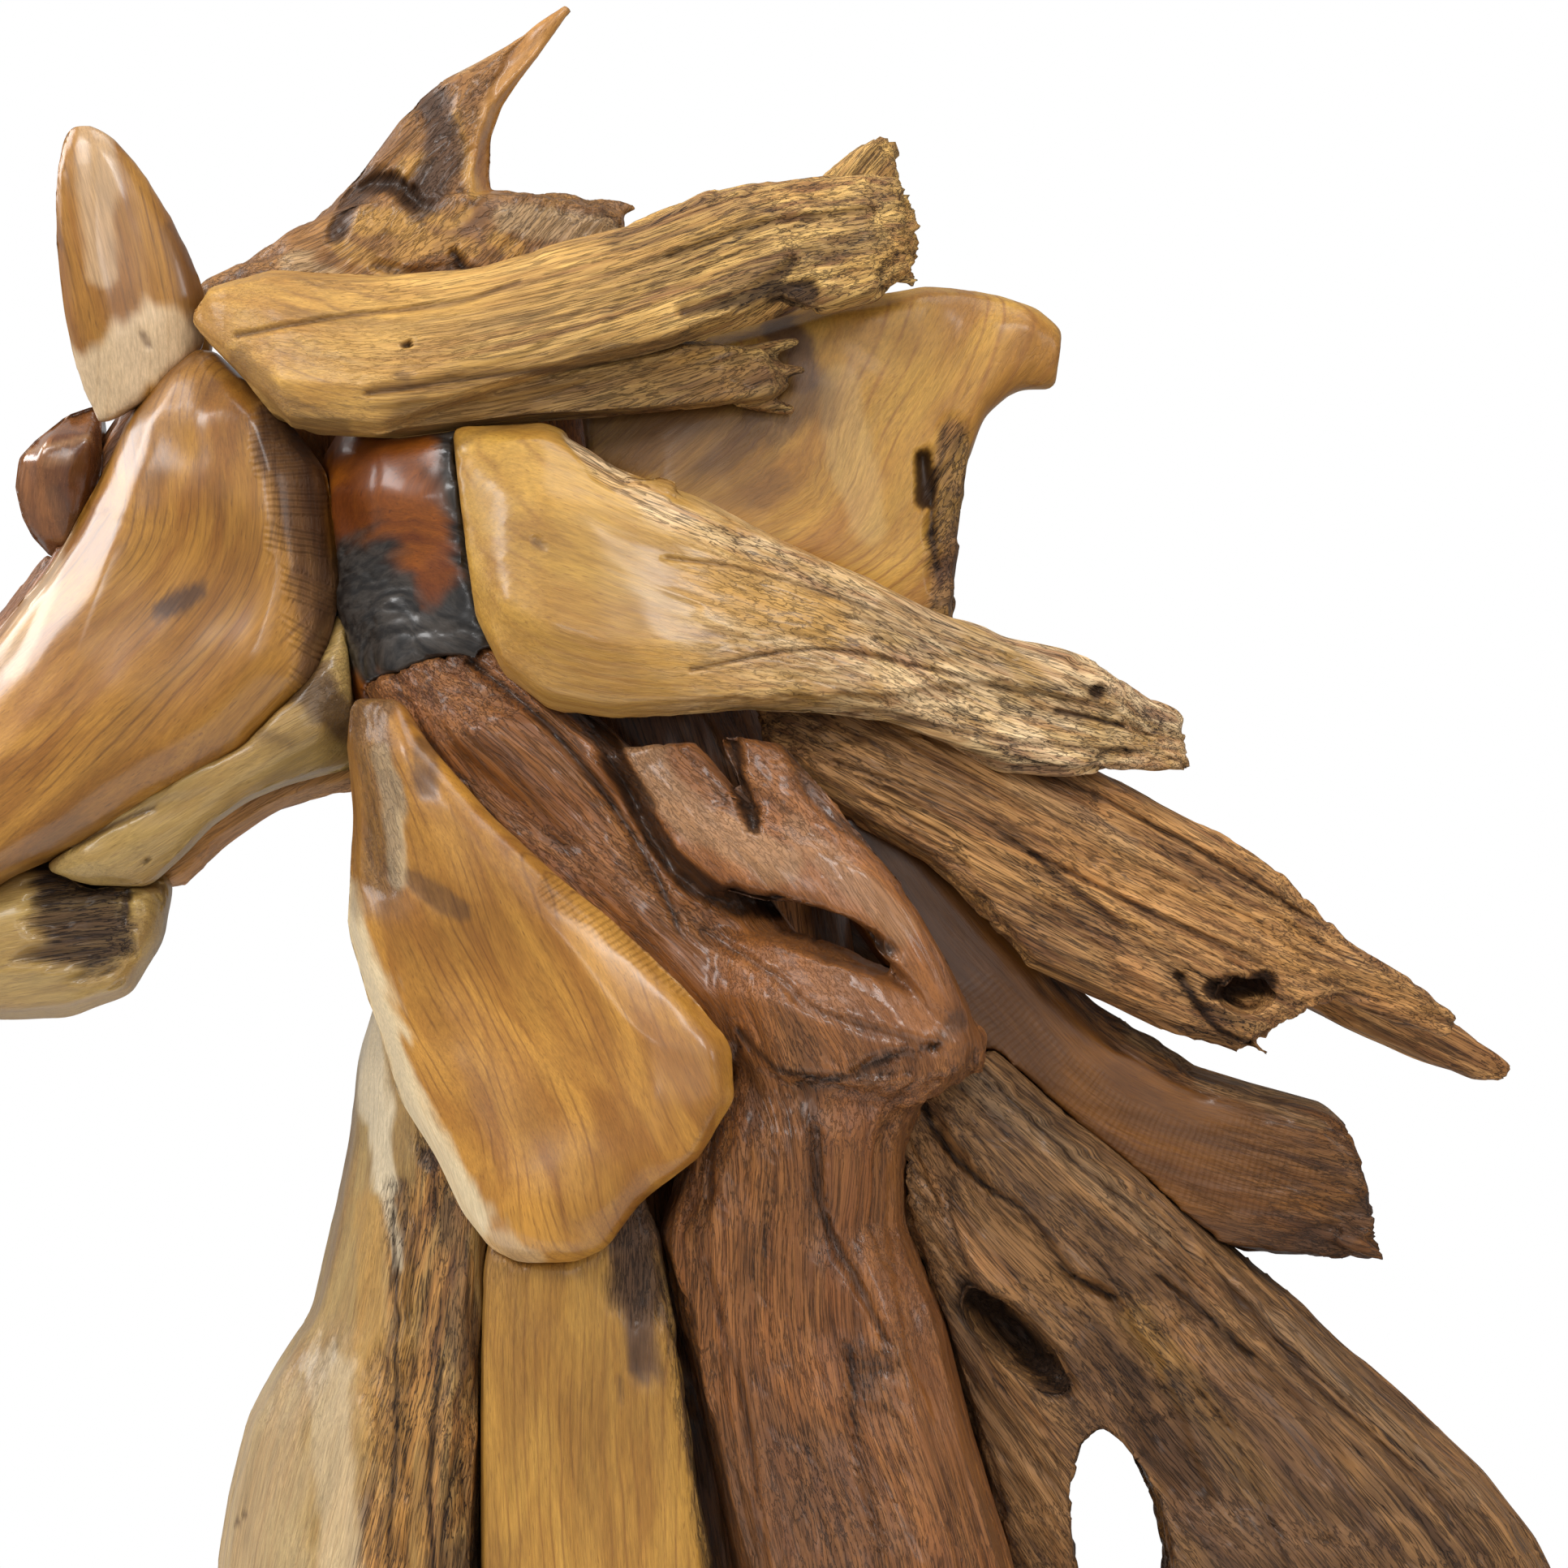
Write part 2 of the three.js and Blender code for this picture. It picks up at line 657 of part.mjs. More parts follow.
// The root pieces that are more than one limb are grown together from their limbs
const limbs = {
  neck_root: [rootTrunk, rootRibs, rootKnob, rootCurl, rootProng],
  forelock_root: [forelockBody, forelockSpike],
  crest_plank: [crestTop, crestUnderside],
};

// Piece by piece from the outermost inwards: each is scribed to all that come before it
const pieces = {
  near_cheek: nearCheek,
  neck_shield: neckShield,
  crest_plank: { finish: "straw" },
  mane_plank: manePlank,
  neck_root: { finish: "root" },
  mane_spear: maneSpear,
  front_board: frontBoard,
  hollow_root: hollowRoot,
  chest_log: chestLog,
  near_jaw: nearJaw,
  brow_block: browBlock,
  nape_burl: napeBurl,
  mane_fan: maneFan,
  mane_slab: maneSlab,
  forelock_root: { finish: "bark" },
  far_cheek: { ...mirrored(nearCheek, 4), sides: 9, rings: 10 },
  far_jaw: farJaw,
  chin_block: chinBlock,
  near_ear: nearEar,
  far_ear: farEar,
  far_neck_shield: farNeckShield,
  far_crest_plank: farCrestPlank,
  far_mane_plank: farManePlank,
  far_mane_spear: farManeSpear,
  far_mane_slab: farManeSlab,
  far_chest_log: farChestLog,
  far_nape: farNape,
  far_neck_root: farNeckRoot,
  forehead_strip: foreheadStrip,
};

// The hollows that are open to the eye, and how far a drill has to reach to come out behind
const through = 4 * thickness;
const hollows = {
  hollow_root: [
    ovalCutter("drill", airHole.across, airHole.tall, through, airHole.lean, [206, 121, 0]),
    ovalCutter("bowl", knotHollow.wide, knotHollow.long, 2 * knotHollow.deep, knotHollow.lean, [
      142, 250, -100,
    ]),
  ],
  mane_spear: [
    ovalCutter("bowl", spearHollow.long, spearHollow.wide, 2 * spearHollow.deep, 0, [
      282, 459, -86,
    ]),
  ],
  neck_root: [
    ovalCutter("bowl", curlHollow.long, curlHollow.wide, 2 * curlHollow.deep, curlHollow.lean, [
      20, 503, -180,
    ]),
  ],
};

// Saw cuts on the faces, each along a line from x, z, y to x, z, y
const sawCuts = {
  near_cheek: [{ from: [-312, 812, -98], to: [-296, 650, -98], slant: 42 }],
  near_ear: [{ from: [-384, 935, -62], to: [-375, 850, -58], slant: 52 }],
};

const ground = solidOf(
  new THREE.BoxGeometry(4 * length, 4 * thickness, height).translate(0, 0, -height / 2),
);

// The grown-together limbs of a piece, before it is fitted
function rough(name, grow) {
  const forms = limbs[name] ?? [pieces[name]];
  return forms.map((form) => solidOf(skin(form, grow))).reduce((all, limb) => all.add(limb));
}

// Off-cuts that a neighbour leaves loose are thrown away
function largest(solid) {
  return solid.decompose().reduce((a, b) => (b.volume() > a.volume() ? b : a));
}

const horse = new THREE.Group();
const fitted = [];
for (const [name, { finish }] of Object.entries(pieces)) {
  let solid = rough(name, 0).subtract(ground);
  for (const hollow of hollows[name] ?? []) solid = solid.subtract(hollow);
  for (const cut of sawCuts[name] ?? []) solid = sawn(solid, cut);
  for (const neighbour of fitted) solid = solid.subtract(rough(neighbour, seatGap));
  const mesh = new THREE.Mesh(
    geometryOf(largest(solid).simplify(seatGap * 0.45)),
    new THREE.MeshStandardMaterial({ ...finishes[finish], metalness: 0 }),
  );
  mesh.name = name;
  horse.add(mesh);
  fitted.push(name);
}

// The origin is at the middle of the footprint's box, on the underside
const extent = new THREE.Box3().setFromObject(horse);
const middleOf = extent.getCenter(new THREE.Vector3());
horse.position.set(-middleOf.x, -middleOf.y, -extent.min.z);

export default horse;
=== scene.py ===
import math

import bmesh
import bpy
import numpy as np
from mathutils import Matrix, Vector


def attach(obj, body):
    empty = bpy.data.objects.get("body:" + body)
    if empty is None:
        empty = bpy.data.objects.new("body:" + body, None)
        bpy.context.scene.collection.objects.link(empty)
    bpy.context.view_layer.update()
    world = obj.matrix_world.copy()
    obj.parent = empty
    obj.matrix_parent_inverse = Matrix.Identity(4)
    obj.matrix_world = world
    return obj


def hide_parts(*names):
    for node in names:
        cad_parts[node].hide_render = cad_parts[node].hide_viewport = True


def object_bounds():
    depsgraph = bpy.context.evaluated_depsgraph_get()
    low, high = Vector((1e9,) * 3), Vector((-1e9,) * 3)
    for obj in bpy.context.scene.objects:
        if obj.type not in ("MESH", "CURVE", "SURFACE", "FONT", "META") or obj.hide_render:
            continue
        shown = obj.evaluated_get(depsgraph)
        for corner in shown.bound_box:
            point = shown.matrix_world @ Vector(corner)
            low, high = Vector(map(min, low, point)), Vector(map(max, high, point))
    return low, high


# A horse head built up from teak driftwood. Each CAD piece is copied, given a finer even skin,
# softened, and then worked along its own grain: grooves, splits, split ends and hollows.
# Lengths are metres. Marks on the wood are in millimetres, from the drawing's zero, and their lines
# and grain paths are lists of x, z, x, z and so on.

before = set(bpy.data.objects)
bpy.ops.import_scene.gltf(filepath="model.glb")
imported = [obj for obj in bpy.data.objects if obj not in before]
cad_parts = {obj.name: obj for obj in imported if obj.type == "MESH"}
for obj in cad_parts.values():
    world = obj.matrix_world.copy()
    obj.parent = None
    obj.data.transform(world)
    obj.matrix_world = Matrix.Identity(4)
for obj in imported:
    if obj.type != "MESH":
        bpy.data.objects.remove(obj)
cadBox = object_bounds()
cadLow, cadHigh = np.array(cadBox[0]), np.array(cadBox[1])
muzzleX = -0.6142  # the muzzle's place on the drawing, which gives where its zero lies
drawingZero = cadLow[0] - muzzleX
backY = 0.1659  # the furthest point back on the drawing
drawingMiddle = cadHigh[1] - backY
detail = 1.0
# The last channel is painted shade in grooves, splits and holes
channels = ("sapwood", "dark", "weather", "char", "ochre", "sawn", "grooveShade")
mm = 0.001
coarseCell = 5 * mm
grainStretch = 1.8  # how much longer than wide the cells of a skin are

# What a piece has where its own values don't say otherwise: its triangles, the passes that round
# it and how strongly edges are kept, the passes on the fine skin, the skin's growth, how far the
# grain opens and wanders, its relief and facets, how worn it is along the grain, and its split ends
usual = dict(
    triangles=30000, round=0, crisp=5, fine=4, grow=0.4, spread=(1, 1), wander=2.5, relief=1, facets=0.7,
    worn=[(0, 0)], split=(0, 0), shapes=(), steps=(), planes=(), slivers=(), far=False)
print("frame loaded")


# One steady random number from -1 to 1 for each lattice point, from its whole-number place
def latticeValues(x, y, z, salt):
    h = (x * 374761393 + y * 668265263 + z * 2147483647 + salt * 1274126177) & 0xFFFFFFFF
    h = ((h ^ (h >> 13)) * 1274126177) & 0xFFFFFFFF
    h = ((h ^ (h >> 16)) * 2246822519) & 0xFFFFFFFF
    return ((h ^ (h >> 15)) & 0xFFFF) / 32767.5 - 1


# Value noise: the eight corner values of the unit cell, blended by 3t^2 - 2t^3 on each axis
def noise(points, salt=0):
    cell = np.floor(points).astype(np.int64)
    f = points - cell
    f = f * f * (3 - 2 * f)
    total = np.zeros(len(points))
    for corner in range(8):
        step = np.array([corner & 1, corner >> 1 & 1, corner >> 2])
        weight = np.where(step, f, 1 - f).prod(axis=1)
        total += weight * latticeValues(*(cell + step).T, salt)
    return total


# A sum of noises, each twice as fine and half as strong as the one before
def layeredNoise(points, layers, salt=0):
    return sum(noise(points * 2.03**k + 17.3 * k, salt + k) / 2**k for k in range(layers))


# Layered noise in patches of a given length along the grain and width across it
def grainNoise(place, along, across, salt, layers=1):
    return layeredNoise(place / [along, across, across], layers, salt)


# 0 below a, 1 above b, and 3t^2 - 2t^3 between
def smoothStep(a, b, x):
    t = np.clip((x - a) / (b - a), 0, 1)
    return t * t * (3 - 2 * t)


# A smooth path through the points, in metres: each stretch is a Catmull-Rom cubic. One point
# alone becomes a line of a tenth of a millimetre.
def smoothPath(points, perStretch=6):
    p = np.array(points, float).reshape(-1, 2) * mm + [drawingZero, 0]
    if len(p) == 1:
        p = np.vstack([p, p + 0.1 * mm])
    if len(p) == 2:
        return p
    ends = np.vstack([2 * p[0] - p[1], p, 2 * p[-1] - p[-2]])
    t = np.linspace(0, 1, perStretch, endpoint=False)[:, None]
    out = []
    for a, b, c, d in zip(ends[:-3], ends[1:-2], ends[2:-1], ends[3:]):
        out.append(0.5 * (2 * b + (c - a) * t + (2 * a - 5 * b + 4 * c - d) * t**2
                          + (3 * b - a - 3 * c + d) * t**3))
    return np.vstack(out + [p[-1:]])


# Place of each point against a path, seen from the front: how far along it, how far aside with
# a sign, how far away in all, and the way the path runs there. The nearest straight stretch counts.
def alongPath(points, path, openEnds):
    flat = points[:, [0, 2]]
    best = np.full(len(points), np.inf)
    along, aside = np.zeros((2, len(points)))
    heading = np.zeros((len(points), 2))
    start, last = 0.0, len(path) - 2
    for k, (a, b) in enumerate(zip(path[:-1], path[1:])):
        length = np.hypot(*(b - a))
        way = (b - a) / length
        rel = flat - a
        t = rel @ way
        low = -np.inf if openEnds and k == 0 else 0
        high = np.inf if openEnds and k == last else length
        held = np.clip(t, low, high)
        side = rel[:, 0] * way[1] - rel[:, 1] * way[0]
        away = np.hypot(side, t - held)
        near = away < best
        best[near], along[near], aside[near] = away[near], (start + held)[near], side[near]
        heading[near] = way
        start += length
    return along, aside, best, heading, start


# The CAD node's own mesh, copied and merged, as points and triangles
def copyOfNode(node):
    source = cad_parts[node]
    mesh = bpy.data.meshes.new(node + ".copy")
    work = bmesh.new()
    work.from_mesh(source.data)
    bmesh.ops.remove_doubles(work, verts=work.verts, dist=1e-5)
    bmesh.ops.triangulate(work, faces=work.faces)
    work.to_mesh(mesh)
    work.free()
    points, faces = readMesh(mesh)
    bpy.data.meshes.remove(mesh)
    return points, faces


# A mesh's points and triangles as arrays
def readMesh(mesh):
    points = np.empty(len(mesh.vertices) * 3)
    mesh.vertices.foreach_get("co", points)
    mesh.calc_loop_triangles()
    faces = np.empty(len(mesh.loop_triangles) * 3, np.int32)
    mesh.loop_triangles.foreach_get("vertices", faces)
    return points.reshape(-1, 3), faces.reshape(-1, 3)


def writeMesh(name, points, faces):
    mesh = bpy.data.meshes.new(name)
    mesh.from_pydata(points.tolist(), [], faces.tolist())
    mesh.update()
    return mesh


def addObject(name, data):
    obj = bpy.data.objects.new(name, data)
    bpy.context.collection.objects.link(obj)
    return obj


# A sliver of split wood, its ends given as x, z and y: circles carried along a straight line from
# its root to its tip, their radius falling off as (1 - t)^0.7, flattened across
def sliver(root, tip, width, thick, sides=7, rings=9):
    a, b = np.array([root, tip], float)[:, [0, 2, 1]] * mm + [drawingZero, drawingMiddle, 0]
    t = np.linspace(0, 1, rings)[:, None]
    turn = np.linspace(0, 2 * np.pi, sides, endpoint=False)[None, :]
    run = (b - a) / np.linalg.norm(b - a)
    up = np.cross(run, [0, 1, 0])
    up /= np.linalg.norm(up)
    radius = (1 - t) ** 0.7 * mm / 2 + 2e-4
    spine = (a + (b - a) * t)[:, None, :]
    grid = (spine + (radius * width * np.cos(turn))[..., None] * up
            + (radius * thick * np.sin(turn))[..., None] * np.array([0, 1, 0]))
    points = grid.reshape(-1, 3)
    i, k = np.meshgrid(np.arange(rings - 1), np.arange(sides), indexing="ij")
    p, q = i * sides + k, i * sides + (k + 1) % sides
    quads = np.stack([p, q, q + sides, p + sides], -1).reshape(-1, 4)
    skin = np.vstack([quads[:, [0, 1, 2]], quads[:, [0, 2, 3]]])
    fan = np.arange(1, sides - 1)
    last = (rings - 1) * sides
    ends = np.vstack([np.stack([fan * 0, fan + 1, fan], -1), np.stack([fan * 0, fan, fan + 1], -1) + last])
    return points, np.vstack([skin, ends])


# The cell that gives a skin of about target triangles: a slanting skin takes about three a cell
def cellFor(points, faces, target, stretch):
    a, b, c = np.moveaxis(points[faces], 1, 0)
    area = np.linalg.norm(np.cross(b - a, c - a), axis=1).sum() / 2
    return math.sqrt(3 * area / (target * stretch))


# An even skin over closed shapes, whose cells are longer along the grain than across it: the
# shape is pressed together along the grain, skinned with even cells, and drawn out again
def evenSkin(points, faces, heading, cell, stretch):
    turn = math.atan2(heading[1], heading[0])
    c, s = math.cos(turn), math.sin(turn)
    toGrain = np.array([[c, 0, s], [0, 1, 0], [-s, 0, c]])
    p = points @ toGrain.T
    p[:, 0] /= stretch
    obj = addObject("skinning", writeMesh("skinning", p, faces))
    remesh = obj.modifiers.new("skin", "REMESH")
    remesh.mode = "VOXEL"
    remesh.voxel_size = cell
    baked = bpy.data.meshes.new_from_object(obj.evaluated_get(bpy.context.evaluated_depsgraph_get()))
    p, f = readMesh(baked)
    p[:, 0] *= stretch
    bpy.data.objects.remove(obj)
    bpy.data.meshes.remove(baked)
    return p @ toGrain, f


# The pairs of points that share an edge, each pair once
def neighbours(faces):
    pairs = np.vstack([faces[:, [0, 1]], faces[:, [1, 2]], faces[:, [2, 0]]])
    pairs.sort(axis=1)
    count = faces.max() + 1
    keys = np.unique(pairs[:, 0].astype(np.int64) * count + pairs[:, 1])
    return keys // count, keys % count


# The biggest connected part of a skin: every point takes the lowest number among its neighbours
# until nothing changes, and the commonest number wins
def biggestPart(points, faces):
    a, b = neighbours(faces)
    label = np.arange(len(points))
    while True:
        low = np.minimum(label[a], label[b])
        fresh = label.copy()
        np.minimum.at(fresh, label[a], low)
        np.minimum.at(fresh, label[b], low)
        fresh = fresh[fresh]
        if np.array_equal(fresh, label):
            break
        label = fresh
    kept = label == np.bincount(label).argmax()
    number = np.cumsum(kept) - 1
    return points[kept], number[faces[kept[faces[:, 0]]]]


# Each pass moves a point towards the mean of its neighbours by 0.5, then back by 0.51, which
# takes off the facets and keeps the volume. Neighbours whose normals differ count for less, by
# the cosine to the power of crisp, so that real edges stay.
def soften(points, faces, passes, crisp):
    a, b = neighbours(faces)
    count = len(points)
    normals = normalsOf(points, faces)
    weight = np.clip((normals[a] * normals[b]).sum(axis=1), 0.001, 1) ** crisp
    degree = np.bincount(a, weight, count) + np.bincount(b, weight, count)
    for k in range(2 * passes):
        mean = np.stack([np.bincount(a, weight * points[b, axis], count)
                         + np.bincount(b, weight * points[a, axis], count) for axis in range(3)], -1)
        mean = mean / degree[:, None]
        points = points + (0.5 if k % 2 == 0 else -0.51) * (mean - points)
    return points


# Unit normals of the points: the sum of the cross products of the faces round each
def normalsOf(points, faces):
    c = points[faces]
    cross = np.cross(c[:, 1] - c[:, 0], c[:, 2] - c[:, 0])
    total = np.zeros_like(points)
    for axis in range(3):
        for corner in range(3):
            total[:, axis] += np.bincount(faces[:, corner], cross[:, axis], len(points))
    return total / np.maximum(np.linalg.norm(total, axis=1), 1e-12)[:, None]


# Grain coordinates: u runs along the piece's grain path, v aside from it and w front to back.
# v is divided by the spread, and a slow noise makes it wander.
def grainPlace(points, piece):
    path = smoothPath(piece["grain"])
    u, v, _, heading, length = alongPath(points, path, True)
    share = np.clip(u / length, -0.2, 1.2)
    first, last = piece["spread"]
    v = v / (first + (last - first) * share)
    place = np.stack([u, v, points[:, 1]], -1)
    place[:, 1] += piece["wander"] * mm * grainNoise(place, 0.09, 0.03, 5)
    return place, heading, share


# A mark is a line, a half width, a strength and perhaps a depth, listed under its channel's name.
# Its edge is uneven along the grain, and its depth falls off as (1 - s^2)^0.6 from the line to the
# edge. Dark marks paint stain, and in places painted shade; where a dark mark has a depth, its dark
# is partly stain and partly painted shade in the crack or hole. Polish takes weather away, and clean
# takes the dark away.
def applyMarks(points, place, facing, piece, masks):
    sink = np.zeros(len(points))
    ragged = grainNoise(place, 0.03, 0.008, 31, 2) + 0.7 * grainNoise(place, 0.022, 0.014, 32)
    wipes = {"polish": "weather", "clean": "dark"}
    for channel in (*channels, *wipes):
        for line, width, strength, *depth in piece.get(channel, ()):
            away = alongPath(points, smoothPath(line, 4), False)[2]
            s = away / (width * mm) * (1 + 0.28 * ragged)
            inside = strength * (1 - smoothStep(0.55 if width > 6 else 0.2, 1.05, s))
            if channel in wipes:
                masks[wipes[channel]] *= 1 - inside
            else:
                masks[channel] = np.maximum(masks[channel], inside)
            if depth:
                sink += depth[0] * mm * np.clip(1 - s * s, 0, 1) ** 0.6 * facing
    return sink


# A shape is a line, a half width and a depth: a shallow hollow, or with a depth below 0 a
# swelling, which falls off as (1 - s^2)^2 from the line to the edge
def applyShapes(points, facing, piece):
    sink = np.zeros(len(points))
    for line, width, depth in piece["shapes"]:
        s = alongPath(points, smoothPath(line, 4), False)[2] / (width * mm)
        sink += depth * mm * np.clip(1 - s * s, 0, 1) ** 2 * facing
    return sink


# A step is a line, a drop and a reach: the wood on the right, as one goes along the line, lies
# lower by the drop, which comes on over a few millimetres and has faded out again at the reach
def applySteps(points, place, facing, piece):
    sink = np.zeros(len(points))
    ragged = 3 * mm * grainNoise(place, 0.02, 0.01, 47, 2)
    for line, drop, reach in piece["steps"]:
        path = smoothPath(line, 5)
        _, aside, away, _, length = alongPath(points, path, False)
        u = alongPath(points, path, True)[0]
        ends = smoothStep(-0.01, 0.02, u) * (1 - smoothStep(length - 0.02, length + 0.01, u))
        side = smoothStep(-1.5 * mm, 2.5 * mm, aside + ragged)
        fade = 1 - smoothStep(0.3 * reach * mm, reach * mm, away)
        sink += drop * mm * side * fade * ends * facing
    return sink


# A plane is a crease line, an angle and a reach: on the right of the line the wood falls away at
# that angle, tan(angle) times the distance, as far as the reach
def applyPlanes(points, facing, piece):
    sink = np.zeros(len(points))
    for line, degrees, reach in piece["planes"]:
        path = smoothPath(line, 5)
        aside = alongPath(points, path, False)[1]
        u, _, _, _, length = alongPath(points, path, True)
        ends = smoothStep(-0.025, 0.005, u) * (1 - smoothStep(length - 0.005, length + 0.025, u))
        sink += math.tan(math.radians(degrees)) * np.clip(aside, 0, reach * mm) * ends * facing
    return sink


# How high or deep each form of the relief is, in millimetres
reliefHeights = {
    "broad": 2.2, "ribs": 1.0, "valley": 1.9, "split": 3.4, "fibre": 0.3, "ledge": 2.6, "crackle": 0.9,
}


# Relief along the grain. Weathered wood has long undulations, ribs, grooves as (1 - |noise|)^6,
# splits as (1 - |noise|)^16, fine fibres, and ledges of split layers, which are a noise drawn
# together to whole steps. Polished wood has broad shallow facets, and char has a crackle of
# (1 - |noise|)^5 and ^3. The second result is painted shade: how dark the grooves, splits and feet
# of the ledges are painted, for the shade that falls in them.
def reliefOf(place, weather, char, piece):
    high = reliefHeights
    broad = grainNoise(place, 0.15, 0.032, 3, 2)
    ribs = grainNoise(place, 0.11, 0.0105, 11, 3)
    valley = (1 - np.abs(grainNoise(place, 0.13, 0.0075, 23))) ** 6
    split = (1 - np.abs(grainNoise(place, 0.19, 0.02, 29))) ** 16
    split *= smoothStep(-0.2, 0.6, grainNoise(place, 0.1, 0.03, 33))
    fibre = grainNoise(place, 0.045, 0.0026, 37)
    layer = 2.6 * noise(place / [0.15, 0.03, 0.036], 49) + 0.25 * grainNoise(place, 0.03, 0.006, 51)
    part = layer - np.floor(layer)
    ledge = np.floor(layer) + smoothStep(0.4, 0.6, part) - layer
    worn = (high["broad"] * broad + high["ribs"] * ribs - high["valley"] * valley
            - high["split"] * split + high["fibre"] * fibre + high["ledge"] * ledge)
    hand = grainNoise(place, 0.085, 0.06, 41) + 0.2 * grainNoise(place, 0.03, 0.02, 43)
    crackle = (1 - np.abs(grainNoise(place, 0.034, 0.0075, 45))) ** 5
    crackle += 0.4 * (1 - np.abs(grainNoise(place, 0.02, 0.0038, 46))) ** 3
    height = mm * (weather * piece["relief"] * worn + (1 - weather) * piece["facets"] * hand
                   - high["crackle"] * char * crackle)
    foot = smoothStep(0.22, 0.38, part) * (1 - smoothStep(0.42, 0.55, part))
    grooveShade = weather * np.clip(0.4 * valley + 1.1 * split - 0.35 * ribs - 0.1 + 0.35 * foot, 0, 1)
    return height, grooveShade


# Split ends: close to an end the wood is drawn back along the grain by an uneven share of the
# split's length, in sharp fingers a few millimetres across
def splitEnds(points, place, heading, piece):
    moved = points.copy()
    u = place[:, 0]
    fingers = np.abs(layeredNoise(place * [0, 1, 1] / 0.0085, 2, 53)) ** 0.8
    blocks = 0.5 + 0.5 * noise(place * [0, 1, 1] / 0.02, 59)
    back = np.clip(0.65 * fingers + 0.55 * blocks, 0, 1.2)
    for end, length in zip((-1, 1), piece["split"]):
        if not length:
            continue
        edge = u.max() if end > 0 else u.min()
        reach = 2.6 * length * mm
        near = smoothStep(0, 1, 1 - np.abs(edge - u) / reach)
        shift = -end * length * mm * back * near
        moved[:, 0] += shift * heading[:, 0]
        moved[:, 2] += shift * heading[:, 1]
    return moved


# The whole working of one piece, from its CAD node to the finished mesh. The relief stands along
# the normals, and hollows go straight back. At the underside both fade out, so it stays flat.
def carve(piece):
    points, faces = copyOfNode(piece["node"])
    for shape in piece["slivers"]:
        extra, extraFaces = sliver(*shape)
        faces = np.vstack([faces, extraFaces + len(points)])
        points = np.vstack([points, extra])
    path = smoothPath(piece["grain"])
    heading = path[-1] - path[0]
    if piece["round"]:
        points, faces = evenSkin(points, faces, heading, coarseCell, 1)
        points = soften(points, faces, piece["round"], piece["crisp"])
    cell = cellFor(points, faces, piece["triangles"] * detail, grainStretch)
    points, faces = evenSkin(points, faces, heading, cell, grainStretch)
    points, faces = biggestPart(points, faces)
    points = soften(points, faces, piece["fine"], 3)
    facingSign = 1 if piece["far"] else -1
    place, heading, share = grainPlace(points, piece)
    normals = normalsOf(points, faces)
    facing = smoothStep(-0.1, 0.45, facingSign * normals[:, 1])
    masks = {name: np.zeros(len(points)) for name in channels}
    shares, amounts = zip(*piece["worn"])
    patches = 0.22 * grainNoise(place, 0.08, 0.025, 61, 2)
    level = np.interp(share, shares, amounts)
    masks["weather"] = np.clip(level + patches * np.minimum(1, 4 * level * (1.15 - level)), 0, 1)
    pits = applyMarks(points, place, facing, piece, masks)
    sink = pits + applyShapes(points, facing, piece)
    sink = sink + applySteps(points, place, facing, piece) + applyPlanes(points, facing, piece)
    height, masks["grooveShade"] = reliefOf(place, masks["weather"], masks["char"], piece)
    grounded = smoothStep(1 * mm, 12 * mm, points[:, 2])
    normals = normalsOf(points, faces)
    points = points + normals * ((height + piece["grow"] * mm) * grounded)[:, None]
    points[:, 1] -= facingSign * sink * grounded
    points = splitEnds(points, place, heading, piece)
    flat = points[:, 2] < 2 * mm
    points = np.clip(points, cadLow, cadHigh)
    points[flat, 2] = cadLow[2]
    # Deep pits are painted darker too: painted shade in the holes
    masks["grooveShade"] = np.clip(masks["grooveShade"] + smoothStep(2 * mm, 9 * mm, pits), 0, 1)
    return points, faces, place, masks


# One piece, its own values given as keywords: carved, painted and put in its CAD node's place
def finishPiece(node, slot, **given):
    piece = {**usual, "node": node, **given}
    points, faces, place, masks = carve(piece)
    mesh = writeMesh(node + ".wood", points, faces)
    mesh.shade_smooth()
    grain = mesh.attributes.new("grain", "FLOAT_VECTOR", "POINT")
    grain.data.foreach_set("vector", place.ravel().astype(np.float32))
    for name, values in masks.items():
        layer = mesh.attributes.new(name, "FLOAT", "POINT")
        layer.data.foreach_set("value", values.astype(np.float32))
    obj = addObject(node + ".wood", mesh)
    mesh.materials.append(finishes[slot])
    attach(obj, "root")
    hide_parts(node)
    print(node, len(faces), "triangles")


# A shader group that takes the grain coordinates: fill adds the nodes that give its results
def newGroup(name, results, fill):
    group = bpy.data.node_groups.new(name, "ShaderNodeTree")
    group.interface.new_socket("Grain", in_out="INPUT", socket_type="NodeSocketVector")
    for result in results:
        group.interface.new_socket(result, in_out="OUTPUT", socket_type="NodeSocketFloat")
    build = Builder(group)
    fill(build, build.node("NodeGroupInput").outputs, build.node("NodeGroupOutput").inputs)
    return group


